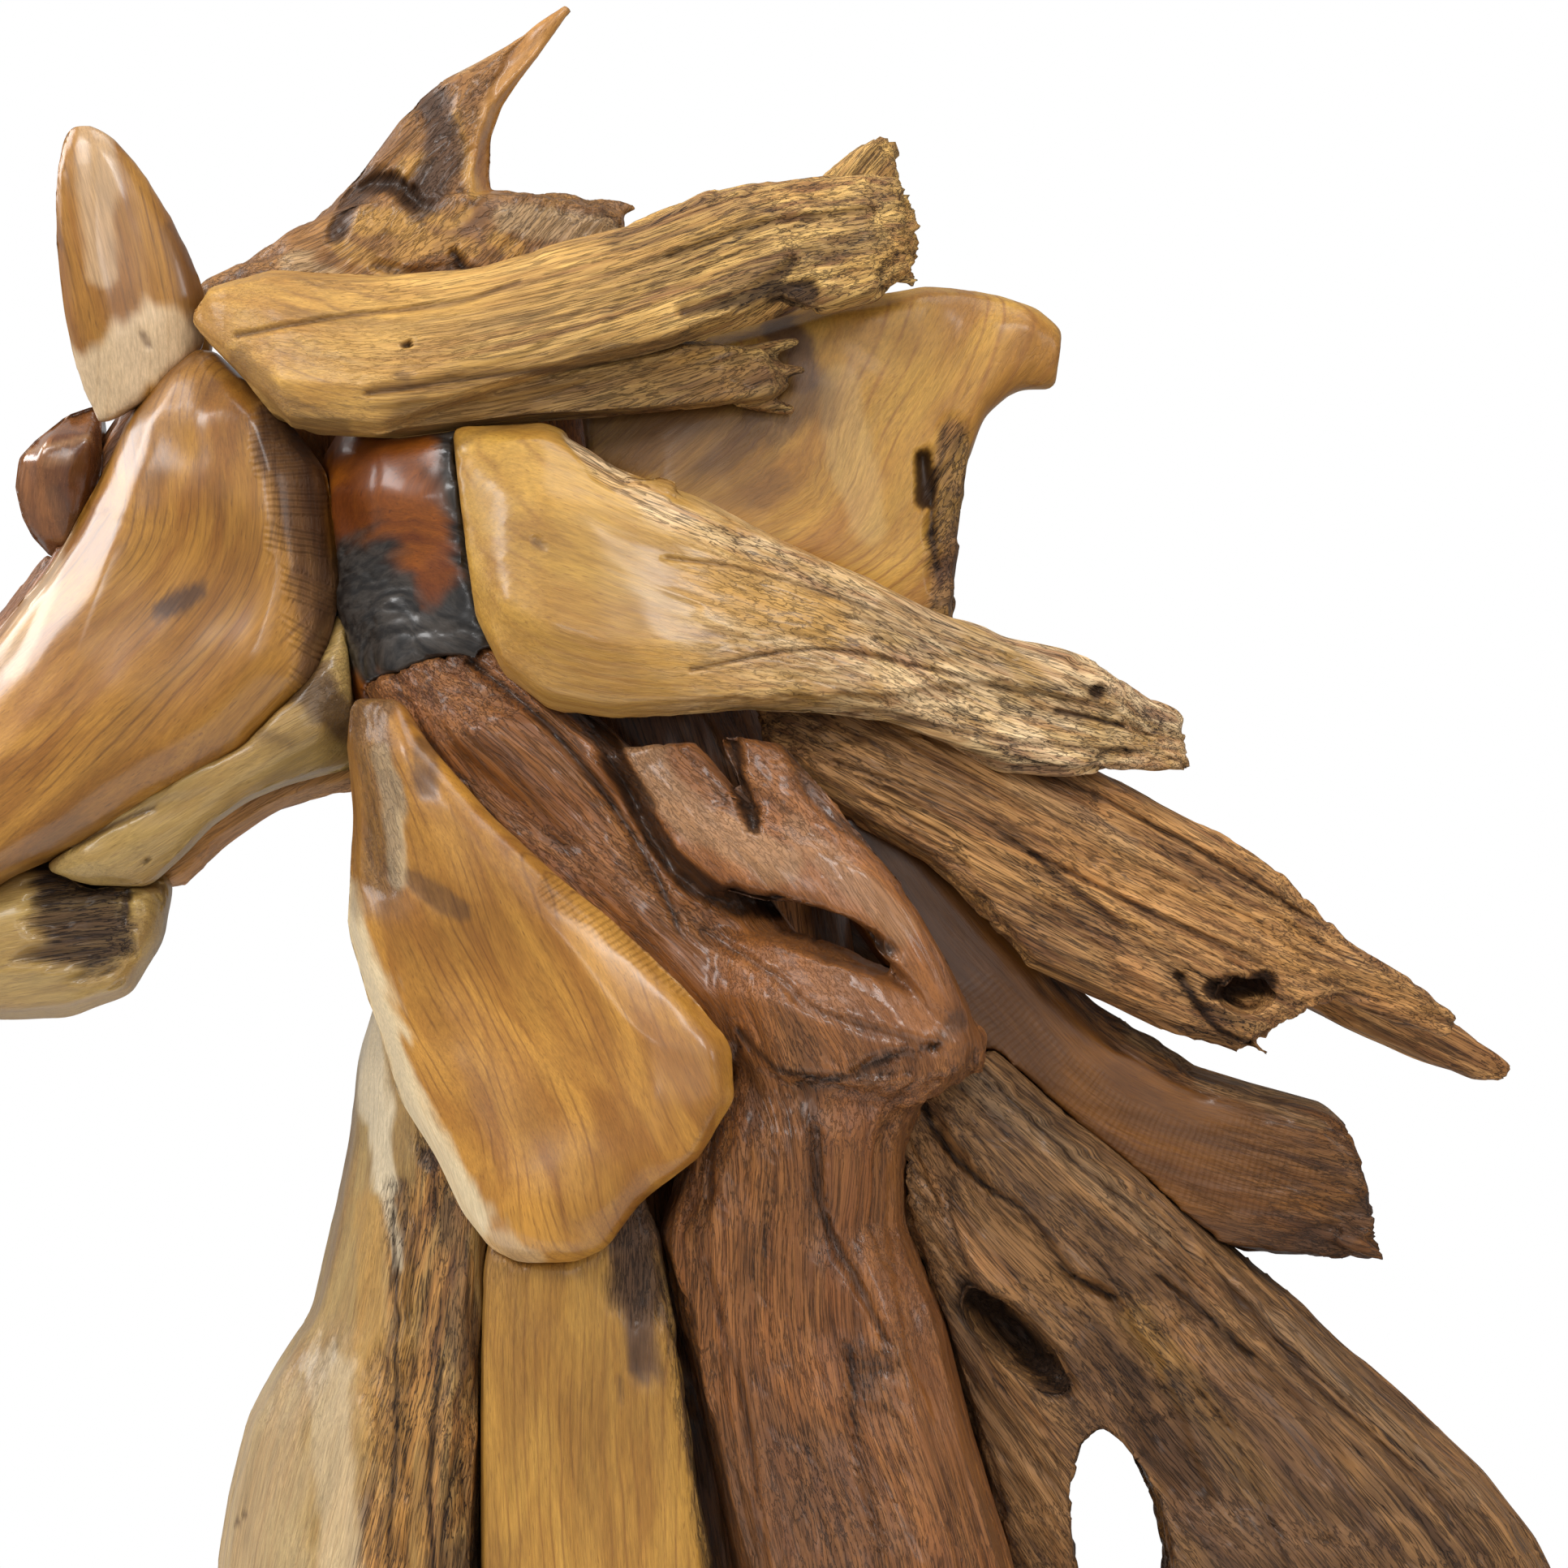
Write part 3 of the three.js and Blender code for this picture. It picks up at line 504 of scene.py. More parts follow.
# Adds nodes to a tree. A number or a colour goes straight on to its socket.
class Builder:
    def __init__(self, tree):
        self.tree = tree

    def node(self, kind, **settings):
        made = self.tree.nodes.new(kind)
        for name, value in settings.items():
            setattr(made, name, value)
        return made

    def link(self, source, target):
        if isinstance(source, (int, float)):
            target.default_value = source
        elif isinstance(source, tuple):
            target.default_value = source if target.type == "VECTOR" else (*source, 1)
        else:
            self.tree.links.new(source, target)

    def maths(self, operation, a, b=0.0, c=None, clamp=False):
        made = self.node("ShaderNodeMath", operation=operation, use_clamp=clamp)
        self.link(a, made.inputs[0])
        self.link(b, made.inputs[1])
        if c is not None:
            self.link(c, made.inputs[2])
        return made.outputs[0]

    def times(self, a, b):
        return self.maths("MULTIPLY", a, b)

    def mix(self, amount, a, b, blend="MIX"):
        made = self.node("ShaderNodeMix", data_type="RGBA", blend_type=blend)
        self.link(amount, made.inputs[0])
        self.link(a, made.inputs[6])
        self.link(b, made.inputs[7])
        return made.outputs[2]

    def scaled(self, vector, scale):
        made = self.node("ShaderNodeVectorMath", operation="MULTIPLY")
        self.link(vector, made.inputs[0])
        self.link(scale, made.inputs[1])
        return made.outputs[0]

    def noise(self, vector, scale, layers=3, rough=0.5, warp=0.0):
        made = self.node("ShaderNodeTexNoise")
        self.link(self.scaled(vector, scale), made.inputs["Vector"])
        made.inputs["Scale"].default_value = 1
        made.inputs["Detail"].default_value = layers
        made.inputs["Roughness"].default_value = rough
        made.inputs["Distortion"].default_value = warp
        return made.outputs["Fac"]

    def ramp(self, value, low, high):
        made = self.node("ShaderNodeMapRange", interpolation_type="SMOOTHSTEP")
        self.link(value, made.inputs["Value"])
        made.inputs["From Min"].default_value = low
        made.inputs["From Max"].default_value = high
        return made.outputs["Result"]

    def mask(self, name):
        return self.node("ShaderNodeAttribute", attribute_name=name).outputs["Fac"]


ringsPerMetre = 850.0  # in radians


# Teak's figure: broad bands of tone, thin dark growth lines, fine fibres and short open pores. A
# growth line is a crest of a sine across the grain, bent by a slow noise and broken by another.
def fillFigure(build, given, result):
    place = given["Grain"]
    band = build.noise(place, (7, 38, 38), 3, 0.55, 0.6)
    build.link(build.ramp(band, 0.3, 0.7), result["Band"])
    slow = build.noise(place, (5, 16, 16), 2, 0.5, 0.4)
    parts = build.node("ShaderNodeSeparateXYZ")
    build.link(place, parts.inputs[0])
    deep = build.times(parts.outputs["Z"], 0.55)
    cross = build.maths("ADD", parts.outputs["Y"], deep)
    bent = build.maths("ADD", build.times(cross, ringsPerMetre), build.times(slow, 22.0))
    wave = build.maths("SINE", bent)
    thin = build.maths("POWER", build.maths("MULTIPLY_ADD", wave, 0.5, 0.5), 9.0)
    broken = build.ramp(build.noise(place, (12, 40, 40), 2), 0.38, 0.6)
    build.link(build.times(thin, broken), result["Lines"])
    fibre = build.noise(place, (48, 900, 900), 4, 0.7)
    build.link(fibre, result["Fibres"])
    pore = build.noise(place, (90, 1100, 1100), 1, 0.5)
    build.link(build.ramp(pore, 0.64, 0.74), result["Pores"])
    broad = build.noise(place, (6, 14, 14), 3, 0.55, 0.5)
    tone = build.maths("MULTIPLY_ADD", build.ramp(fibre, 0.28, 0.72), 0.36, 0.8)
    shade = build.maths("MULTIPLY_ADD", build.ramp(broad, 0.3, 0.7), 0.26, 0.85)
    build.link(build.times(tone, shade), result["Tone"])


# Weathered grain: hard streaks of dark and light earlywood, grey bloom, and deep furrows, which the finish
# darkens with painted shade
def fillWeather(build, given, result):
    place = given["Grain"]
    streak = build.noise(place, (5, 150, 150), 5, 0.62, 0.5)
    build.link(build.ramp(streak, 0.36, 0.64), result["Streaks"])
    bloom = build.noise(place, (9, 40, 40), 4, 0.6, 1.2)
    build.link(build.ramp(bloom, 0.42, 0.68), result["Bloom"])
    patches = build.noise(place, (7, 24, 24), 3, 0.6, 0.6)
    build.link(build.ramp(patches, 0.5, 0.66), result["Patches"])
    furrow = build.noise(place, (14, 420, 420), 3, 0.6, 0.3)
    ridge = build.maths("ABSOLUTE", build.maths("MULTIPLY_ADD", furrow, 2.0, -1.0))
    build.link(build.maths("SUBTRACT", 1.0, build.ramp(ridge, 0.0, 0.09)), result["Furrows"])


# Saw chatter: even ridges across the grain, a sine along it that a noise shakes
def fillChatter(build, given, result):
    parts = build.node("ShaderNodeSeparateXYZ")
    build.link(given["Grain"], parts.inputs[0])
    shake = build.noise(given["Grain"], (30, 60, 60), 2)
    turn = build.maths("MULTIPLY_ADD", parts.outputs["X"], 1500.0, build.times(shake, 6.0))
    build.link(build.maths("MULTIPLY_ADD", build.maths("SINE", turn), 0.5, 0.5), result["Ridges"])


figureGroup = newGroup("teakFigure", ("Band", "Lines", "Fibres", "Pores", "Tone"), fillFigure)
weatherGroup = newGroup("weatheredGrain", ("Streaks", "Bloom", "Furrows", "Patches"), fillWeather)
chatterGroup = newGroup("sawChatter", ("Ridges",), fillChatter)

# Colours that every finish shares
wood = {
    # The dark marks' colour: stain, and painted shade where a dark mark stands for shade
    "stainAndShade": (0.050, 0.021, 0.010),
    "stainAndShadePale": (0.135, 0.060, 0.026),
    "ochre": (0.52, 0.27, 0.055),
    "char": (0.012, 0.010, 0.009),
    "charPale": (0.050, 0.041, 0.034),
    "heart": (0.82, 0.62, 0.48),
    # Painted shade for the grooves, furrows and holes
    "shadeColour": (0.034, 0.016, 0.008),
}

# How far each layer covers what lies under it. The furrows and the groove shade are painted shade.
covers = {
    "pores": 0.5, "bloom": 0.6, "patches": 0.4, "ochre": 0.9, "sapwood": 0.92, "dark": 0.88, "furrows": 0.6,
    "grooveShade": 0.72,
}

# The surface: how rough the fibres make it, how matt sawn wood is, how much lacquer is worn off,
# how rough the lacquer is, how strongly it mirrors, and the bump's strength and depth
surfaces = {
    "fibres": 0.12, "sawn": 0.8, "wornOff": 0.75, "coatRough": 0.2, "mirror": 0.35, "bump": 0.9,
    "bumpDepth": 1.6 * mm,
}

# How much each form adds to the bump
bumps = {"fibres": 0.5, "polishedFibres": 0.06, "streaks": 0.5, "furrows": -1.2, "sawn": 0.8}

# Each finish: the light and dark of its clean wood, its growth lines, its sapwood, which also paints
# highlights, the pale and dark of its weathered grain, how rough it is polished and worn, its lacquer,
# and the strength of its growth lines
lookParts = ("light", "dark", "line", "sapwood", "pale", "deep", "polished", "worn", "lacquer", "lines")
looks = {
    "polished_honey": (
        (0.39, 0.18, 0.026), (0.225, 0.083, 0.0095), (0.12, 0.044, 0.008), (0.7, 0.52, 0.32),
        (0.31, 0.16, 0.047), (0.103, 0.044, 0.013), 0.3, 0.6, 0.6, 0.6),
    "polished_amber": (
        (0.48, 0.225, 0.034), (0.28, 0.108, 0.014), (0.17, 0.061, 0.009), (0.68, 0.54, 0.33),
        (0.34, 0.194, 0.06), (0.1, 0.046, 0.015), 0.36, 0.55, 0.45, 0.65),
    "weathered_straw": (
        (0.6, 0.335, 0.077), (0.42, 0.205, 0.045), (0.2, 0.1, 0.035), (0.62, 0.44, 0.24),
        (0.75, 0.457, 0.143), (0.27, 0.122, 0.0403), 0.42, 0.62, 0.15, 0.55),
    # Its weathered pale and deep are partly the wood's own pale weathered tone and partly painted light,
    # made brighter for the strong light on the plank's weathered end, which faces up and to the right
    "polished_to_weathered": (
        (0.5, 0.275, 0.046), (0.33, 0.155, 0.022), (0.235, 0.095, 0.013), (0.66, 0.5, 0.28),
        (0.97, 0.69, 0.38), (0.48, 0.26, 0.125), 0.36, 0.6, 0.4, 0.45),
    "oiled_root": (
        (0.362, 0.132, 0.0326), (0.199, 0.0655, 0.0158), (0.075, 0.024, 0.007), (0.4, 0.25, 0.13),
        (0.345, 0.139, 0.0378), (0.154, 0.0534, 0.0149), 0.3, 0.4, 0.55, 0.2),
    "weathered_brown": (
        (0.62, 0.3, 0.08), (0.39, 0.165, 0.043), (0.175, 0.062, 0.018), (0.5, 0.33, 0.17),
        (0.62, 0.32, 0.112), (0.23, 0.097, 0.031), 0.42, 0.58, 0.2, 0.2),
    "sawn_honey": (
        (0.46, 0.236, 0.038), (0.29, 0.128, 0.018), (0.194, 0.076, 0.011), (0.62, 0.46, 0.26),
        (0.37, 0.202, 0.056), (0.114, 0.05, 0.015), 0.42, 0.6, 0.2, 0.65),
    "weathered_root": (
        (0.37, 0.176, 0.053), (0.21, 0.096, 0.029), (0.14, 0.0546, 0.0175), (0.36, 0.25, 0.14),
        (0.35, 0.172, 0.06), (0.12, 0.054, 0.019), 0.42, 0.55, 0.3, 0.2),
    "sapwood_and_bark": (
        (0.43, 0.285, 0.1), (0.31, 0.185, 0.06), (0.18, 0.07, 0.02), (0.7, 0.57, 0.38),
        (0.6, 0.285, 0.072), (0.17, 0.066, 0.018), 0.36, 0.55, 0.35, 0.3),
    "olive_sapwood": (
        (0.483, 0.318, 0.097), (0.356, 0.21, 0.061), (0.18, 0.09, 0.03), (0.55, 0.42, 0.22),
        (0.384, 0.21, 0.072), (0.112, 0.0525, 0.0192), 0.34, 0.6, 0.4, 0.25),
    "dark_gloss": (
        (0.27, 0.105, 0.032), (0.098, 0.031, 0.01), (0.039, 0.013, 0.005), (0.4, 0.22, 0.1),
        (0.208, 0.078, 0.024), (0.065, 0.023, 0.009), 0.2, 0.35, 1.0, 0.2),
    "scorched_burl": (
        (0.33, 0.092, 0.006), (0.145, 0.032, 0.003), (0.06, 0.012, 0.003), (0.4, 0.22, 0.1),
        (0.16, 0.045, 0.01), (0.045, 0.012, 0.004), 0.32, 0.4, 0.45, 0.2),
    "smooth_honey": (
        (0.5, 0.268, 0.043), (0.32, 0.138, 0.019), (0.245, 0.097, 0.015), (0.6, 0.42, 0.18),
        (0.306, 0.155, 0.049), (0.092, 0.039, 0.013), 0.42, 0.6, 0.2, 0.75),
    "sawn_amber": (
        (0.215, 0.075, 0.0055), (0.115, 0.038, 0.003), (0.088, 0.025, 0.005), (0.45, 0.28, 0.13),
        (0.22, 0.093, 0.025), (0.061, 0.021, 0.006), 0.4, 0.6, 0.3, 0.35),
    "weathered_forelock": (
        (0.44, 0.211, 0.052), (0.27, 0.113, 0.027), (0.13, 0.05, 0.013), (0.54, 0.37, 0.19),
        (0.3, 0.14, 0.042), (0.104, 0.04, 0.0132), 0.35, 0.5, 0.4, 0.3),
}


def group(build, tree, grain):
    made = build.node("ShaderNodeGroup", node_tree=tree)
    build.link(grain, made.inputs["Grain"])
    return made.outputs


# One finish: clean figured wood, then weathered grain, ochre dust, sapwood and painted highlights,
# stain and painted shade, char, and painted shade in the furrows, grooves and holes, laid over it
# where the piece's masks say
def woodMaterial(name, look):
    material = bpy.data.materials.new(name)
    material.use_nodes = True
    build = Builder(material.node_tree)
    surface = material.node_tree.nodes["Principled BSDF"]
    grain = build.node("ShaderNodeAttribute", attribute_name="grain").outputs["Vector"]
    figure = group(build, figureGroup, grain)
    weathered = group(build, weatherGroup, grain)
    ridges = group(build, chatterGroup, grain)["Ridges"]
    masks = {channel: build.mask(channel) for channel in channels}
    clean = build.mix(figure["Band"], look["dark"], look["light"])
    clean = build.mix(build.times(figure["Lines"], look["lines"]), clean, look["line"])
    clean = build.mix(build.times(figure["Pores"], covers["pores"]), clean, look["line"])
    worn = build.mix(weathered["Streaks"], look["deep"], look["pale"])
    worn = build.mix(build.times(weathered["Bloom"], covers["bloom"]), worn, look["light"])
    heart = build.times(weathered["Patches"], covers["patches"])
    worn = build.mix(heart, worn, wood["heart"], "MULTIPLY")
    colour = build.mix(masks["weather"], clean, worn)
    # Sapwood marks paint sapwood, and in places painted highlights
    pale = build.mix(build.times(figure["Lines"], 0.2), look["sapwood"], look["light"])
    # Dark marks: stain, and painted shade where they stand for shade
    stainAndShade = build.mix(figure["Band"], wood["stainAndShade"], wood["stainAndShadePale"])
    for layer, over in (("ochre", wood["ochre"]), ("sapwood", pale), ("dark", stainAndShade)):
        colour = build.mix(build.times(masks[layer], covers[layer]), colour, over)
    char = build.mix(weathered["Streaks"], wood["char"], wood["charPale"])
    colour = build.mix(masks["char"], colour, char)
    colour = build.mix(1.0, colour, figure["Tone"], "MULTIPLY")
    # Painted shade: the furrows of weathered wood and the grooves, splits and holes go dark
    furrows = build.times(build.times(weathered["Furrows"], masks["weather"]), covers["furrows"])
    shadeAmount = build.maths("ADD", furrows, build.times(masks["grooveShade"], covers["grooveShade"]), clamp=True)
    colour = build.mix(shadeAmount, colour, wood["shadeColour"])
    build.link(colour, surface.inputs["Base Color"])
    dull = build.maths("MAXIMUM", masks["weather"], build.times(masks["sawn"], surfaces["sawn"]))
    spread = look["worn"] - look["polished"]
    rough = build.maths("MULTIPLY_ADD", dull, spread, look["polished"])
    rough = build.maths("MULTIPLY_ADD", figure["Fibres"], surfaces["fibres"], rough)
    build.link(rough, surface.inputs["Roughness"])
    kept = build.maths("MULTIPLY_ADD", dull, -surfaces["wornOff"], 1.0)
    build.link(build.times(kept, look["lacquer"]), surface.inputs["Coat Weight"])
    surface.inputs["Coat Roughness"].default_value = surfaces["coatRough"]
    surface.inputs["Specular IOR Level"].default_value = surfaces["mirror"]
    fibreShare = build.maths("MULTIPLY_ADD", dull, bumps["fibres"], bumps["polishedFibres"])
    fibreHeight = build.times(figure["Fibres"], fibreShare)
    streakHeight = build.times(weathered["Streaks"], build.times(dull, bumps["streaks"]))
    furrowHeight = build.times(furrows, bumps["furrows"])
    sawHeight = build.times(ridges, build.times(masks["sawn"], bumps["sawn"]))
    grainHeight = build.maths("ADD", fibreHeight, streakHeight)
    height = build.maths("ADD", grainHeight, build.maths("ADD", furrowHeight, sawHeight))
    bump = build.node("ShaderNodeBump")
    bump.inputs["Strength"].default_value = surfaces["bump"]
    bump.inputs["Distance"].default_value = surfaces["bumpDepth"]
    build.link(height, bump.inputs["Height"])
    build.link(bump.outputs["Normal"], surface.inputs["Normal"])
    return material


finishes = {name: woodMaterial(name, dict(zip(lookParts, look))) for name, look in looks.items()}
print("finishes made")

# The near side. grain is the way the wood runs, worn says how weathered it is from one end of the
# grain (0) to the other (1), and split is how far each end is split, in millimetres. A sliver is
# its root and tip as x, z and y, its width and its thickness.
finishPiece(
    "near_cheek", "polished_honey", triangles=40000, round=2, crisp=18, grow=1.6,
    grain=[-340, 850, -330, 730, -400, 640, -500, 560, -610, 470], facets=1.6, wander=9,
    dark=[
        ([-377, 692, -366, 697, -355, 704], 7.5, 1),
        ([-306, 812, -290, 740, -282, 700, -278, 640], 19, 0.92),
        ([-345, 850, -370, 820, -385, 790], 26, 0.4), ([-330, 840, -312, 815], 12, 0.5),
        ([-430, 560, -480, 520, -560, 470], 14, 0.3)],
    # This pale streak at the cheek's left is a painted highlight, the glare of the lamps on the muzzle's
    # side
    sapwood=[([-450, 742, -456, 700, -470, 660], 13, 0.4)],
    sawn=[([-306, 812, -294, 740, -288, 700, -282, 640], 19, 1)],
    shapes=[([-372, 690, -352, 706], 60, 5)],
    planes=[
        ([-290, 640, -296, 670, -305, 720, -311, 760, -318, 800], 13, 34),
        ([-388, 800, -408, 735, -428, 670, -453, 630, -520, 560], 17, 34),
        ([-560, 505, -450, 555, -380, 600, -320, 650], 9, 40)])
finishPiece(
    "near_ear", "polished_honey", triangles=14000, round=3, crisp=14,
    grain=[-395, 800, -405, 880, -432, 1000], facets=0.5,
    dark=[([-374, 925, -360, 875], 11, 0.55), ([-392, 862, -389, 856], 3, 0.7, 1.0)],
    # The second, narrow pale streak down the ear's left half is a painted highlight
    sapwood=[([-424, 832, -380, 862], 26, 0.85), ([-424, 1000, -420, 950, -416, 900], 13, 0.4)],
    planes=[
        ([-362, 860, -370, 920, -385, 970, -405, 1010], 16, 20),
        ([-424, 1010, -421, 950, -424, 850], 12, 16)])
finishPiece(
    "brow_block", "dark_gloss", triangles=10000, fine=2,
    grain=[-440, 820, -452, 770, -450, 725], facets=2,
    dark=[([-448, 765, -440, 745], 9, 0.6)],
    sapwood=[([-472, 790, -446, 795, -428, 800], 3, 0.5), ([-452, 785, -440, 788], 6, 0.35)],
    planes=[
        ([-438, 728, -441, 775, -428, 800], 34, 16), ([-425, 798, -450, 794, -480, 784], 36, 14),
        ([-456, 795, -459, 760, -448, 730], 32, 14)])
finishPiece(
    "forehead_strip", "oiled_root", triangles=14000,
    grain=[-355, 850, -420, 780, -480, 680, -590, 515], worn=[(0, 0.8), (1, 0.3)])
finishPiece(
    "near_jaw", "olive_sapwood", triangles=16000, round=2, crisp=14,
    grain=[-262, 640, -330, 600, -440, 540], facets=1.6, worn=[(0, 0.15), (1, 0.1)],
    dark=[
        ([-320, 652, -290, 645, -266, 622], 15, 0.85, 1.0), ([-330, 622, -300, 612], 6, 0.5),
        ([-388, 541], 2.4, 1, 6), ([-436, 548, -408, 563, -385, 572], 2.4, 0.8, 3)],
    steps=[([-440, 550, -400, 572, -350, 585], 3, 20)],
    planes=[([-420, 562, -360, 590, -310, 612, -262, 632], 14, 30)])
finishPiece(
    "chin_block", "olive_sapwood", triangles=14000, round=3, crisp=12,
    grain=[-385, 500, -450, 490, -555, 470], facets=1.2, worn=[(0, 0.1), (1, 0.1)],
    dark=[([-434, 545, -432, 500], 30, 0.2), ([-404, 520, -405, 505], 3, 1, 5)],
    weather=[([-434, 545, -432, 500], 36, 1, 11)])
finishPiece(
    "forelock_root", "weathered_forelock", triangles=48000,
    grain=[-355, 885, -280, 915, -215, 975, -145, 1062], worn=[(0, 0.6), (0.6, 0.7), (1, 0.5)],
    relief=1.2, wander=10, split=(4, 0),
    dark=[
        ([-225, 1022, -214, 1000, -210, 975, -222, 952], 15, 0.95, 6),
        ([-262, 962, -240, 955, -225, 940], 9, 0.8, 4),
        ([-275, 925, -265, 948, -242, 958, -228, 945], 7, 0.9, 7),
        ([-203, 912, -190, 898, -170, 893], 4, 0.9, 6), ([-250, 905, -225, 898, -200, 905], 5, 0.7, 4),
        ([-160, 900, -120, 897, -95, 903], 6, 0.4, 3)],
    sapwood=[
        ([-300, 905, -270, 890], 12, 0.6), ([-200, 1030, -180, 1045], 6, 0.5),
        ([-170, 935, -130, 930, -100, 920], 13, 0.6), ([-150, 912, -120, 910], 6, 0.5)],
    ochre=[
        ([-255, 930, -238, 932, -222, 920], 11, 0.8), ([-232, 965, -222, 970], 8, 0.7),
        ([-204, 1000, -196, 970, -190, 950], 6, 0.8), ([-235, 912, -210, 918, -192, 915], 8, 0.6),
        ([-178, 922, -165, 915], 7, 0.7), ([-270, 915, -250, 905, -235, 895], 8, 0.7),
        ([-222, 938, -205, 930, -195, 938], 6, 0.8)],
    polish=[([-184, 960, -178, 990, -168, 1020, -145, 1060], 15, 1)],
    clean=[([-182, 985, -170, 1020, -145, 1058], 15, 1)],
    steps=[([-190, 945, -186, 990, -176, 1030, -152, 1062], 5, 22)],
    slivers=[((-135, 935, -10), (-86, 926, -12), 12, 10), ((-150, 948, 0), (-92, 944, 0), 10, 12)])
finishPiece(
    "crest_plank", "weathered_straw", triangles=86000,
    grain=[-355, 865, -240, 845, -120, 865, 0, 905, 85, 925],
    worn=[(0, 0.06), (0.25, 0.25), (0.5, 0.6), (0.7, 0.9), (1, 1)], split=(3, 16), relief=0.8, grow=1.2,
    dark=[
        ([-228, 803, -160, 813, -90, 828, -10, 838], 15, 0.5), ([-120, 842, -60, 852, -20, 858], 8, 0.5),
        ([-120, 822, -50, 832, 8, 838], 17, 0.55), ([-40, 885, 10, 905, 60, 915], 9, 0.5),
        ([-330, 840, -300, 815, -270, 800], 12, 0.5), ([-300, 872, -220, 862, -140, 868], 5, 0.35),
        ([-227, 851], 2.7, 1, 8), ([-231, 832, -226, 831], 4.5, 0.6, 0.8),
        ([-330, 858, -270, 868, -200, 876, -160, 888], 2.2, 0.7, 2.5),
        ([-250, 822, -190, 830, -110, 842, -60, 853], 2.6, 0.8, 4),
        ([-60, 870, -20, 880, 5, 900], 5, 0.8, 5), ([-70, 905, -10, 925, 60, 935], 2.5, 0.6, 3),
        ([-8, 868, 0, 880, 14, 884], 8, 0.9, 7)],
    ochre=[([-240, 870, -225, 872], 9, 0.5), ([-110, 852, -80, 862], 10, 0.4)],
    steps=[
        ([-30, 929, -90, 914, -200, 893, -300, 893], 4, 26),
        ([-250, 812, -150, 824, -60, 846, -15, 858], 6, 40)],
    planes=[([-338, 884, -334, 850, -292, 806], 20, 16)],
    slivers=[
        ((50, 930, -74), (87, 928, -78), 14, 12), ((55, 905, -70), (86, 893, -72), 12, 12),
        ((-34, 844, -74), (8, 856, -72), 11, 11), ((-44, 826, -76), (6, 814, -74), 12, 12),
        ((-40, 834, -80), (13, 838, -78), 11, 11)])
finishPiece(
    "nape_burl", "scorched_burl", triangles=40000, round=10,
    grain=[-285, 690, -225, 722, -150, 690], facets=2, relief=0.6, wander=12,
    dark=[([-280, 730, -270, 710], 10, 0.6)],
    char=[
        ([-262, 708, -245, 680, -205, 672, -170, 700], 38, 1), ([-196, 815, -186, 760, -180, 720], 24, 1)],
    shapes=[([-245, 772, -235, 755], 38, -7)])
finishPiece(
    "mane_plank", "polished_to_weathered", triangles=84000, round=2, crisp=20,
    grain=[-195, 745, -100, 705, 20, 680, 130, 640, 250, 608], spread=(1.7, 0.7),
    worn=[(0, 0.02), (0.28, 0.08), (0.42, 0.55), (0.6, 0.85), (1, 0.95)], split=(0, 5), facets=1.6,
    dark=[
        ([190, 643], 6, 1, 9), ([165, 631, 185, 627, 205, 622], 2.4, 0.9, 5),
        ([-148, 732, -145, 728], 4, 0.6, 1), ([-196, 790, -170, 802, -120, 800], 4, 0.4),
        ([-55, 655, 20, 668, 90, 655, 150, 640], 1.8, 0.5, 3),
        ([-70, 722, -20, 715, 60, 690], 1.8, 0.4, 2.5), ([70, 626, 140, 612, 220, 606], 2.2, 0.5, 3)],
    ochre=[([-45, 705, -10, 695, 25, 680], 19, 0.9), ([-80, 668, -60, 660], 12, 0.5)],
    weather=[([-125, 795, -100, 770, -60, 745, -10, 725, 50, 700], 9, 0.9, 1.5)],
    steps=[
        ([-50, 637, 60, 642, 120, 648, 190, 636, 230, 615], 8, 46),
        ([-20, 733, -80, 762, -112, 770, -126, 800], 4, 18)],
    slivers=[((-110, 762, -112), (-66, 773, -118), 10, 8), ((-90, 752, -114), (-60, 768, -120), 8, 7)])
finishPiece(
    "mane_fan", "smooth_honey", triangles=40000, round=4, crisp=14,
    grain=[-60, 700, 40, 740, 95, 810, 140, 890], spread=(0.8, 1.8), facets=3, wander=8,
    worn=[(0, 0.05), (1, 0.08)],
    dark=[
        ([112, 790, 104, 750, 101, 690], 6, 0.35), ([85, 787, 87, 760], 6, 1, 16),
        # The wide dark along the crest's foot at the left, from -120, 800, and the one under it are painted
        # shadow under the crest; the last dark mark, from -4, 868, is painted shadow in the gap under the
        # crest's upper lobe
        ([92, 770, 90, 740, 94, 715], 2, 0.8, 5), ([-120, 800, -60, 800, 0, 832], 34, 0.75),
        ([-70, 790, -20, 770], 26, 0.35), ([-4, 868, 8, 855, 12, 836], 13, 1)],
    sapwood=[([34, 832, 40, 790, 52, 745], 15, 0.3)],
    ochre=[([30, 705, 70, 690], 13, 0.6), ([-60, 765, -20, 745], 18, 0.4)],
    weather=[([104, 800, 101, 750, 98, 690], 13, 1, 3)],
    steps=[([92, 700, 86, 745, 98, 800], 5, 20)])
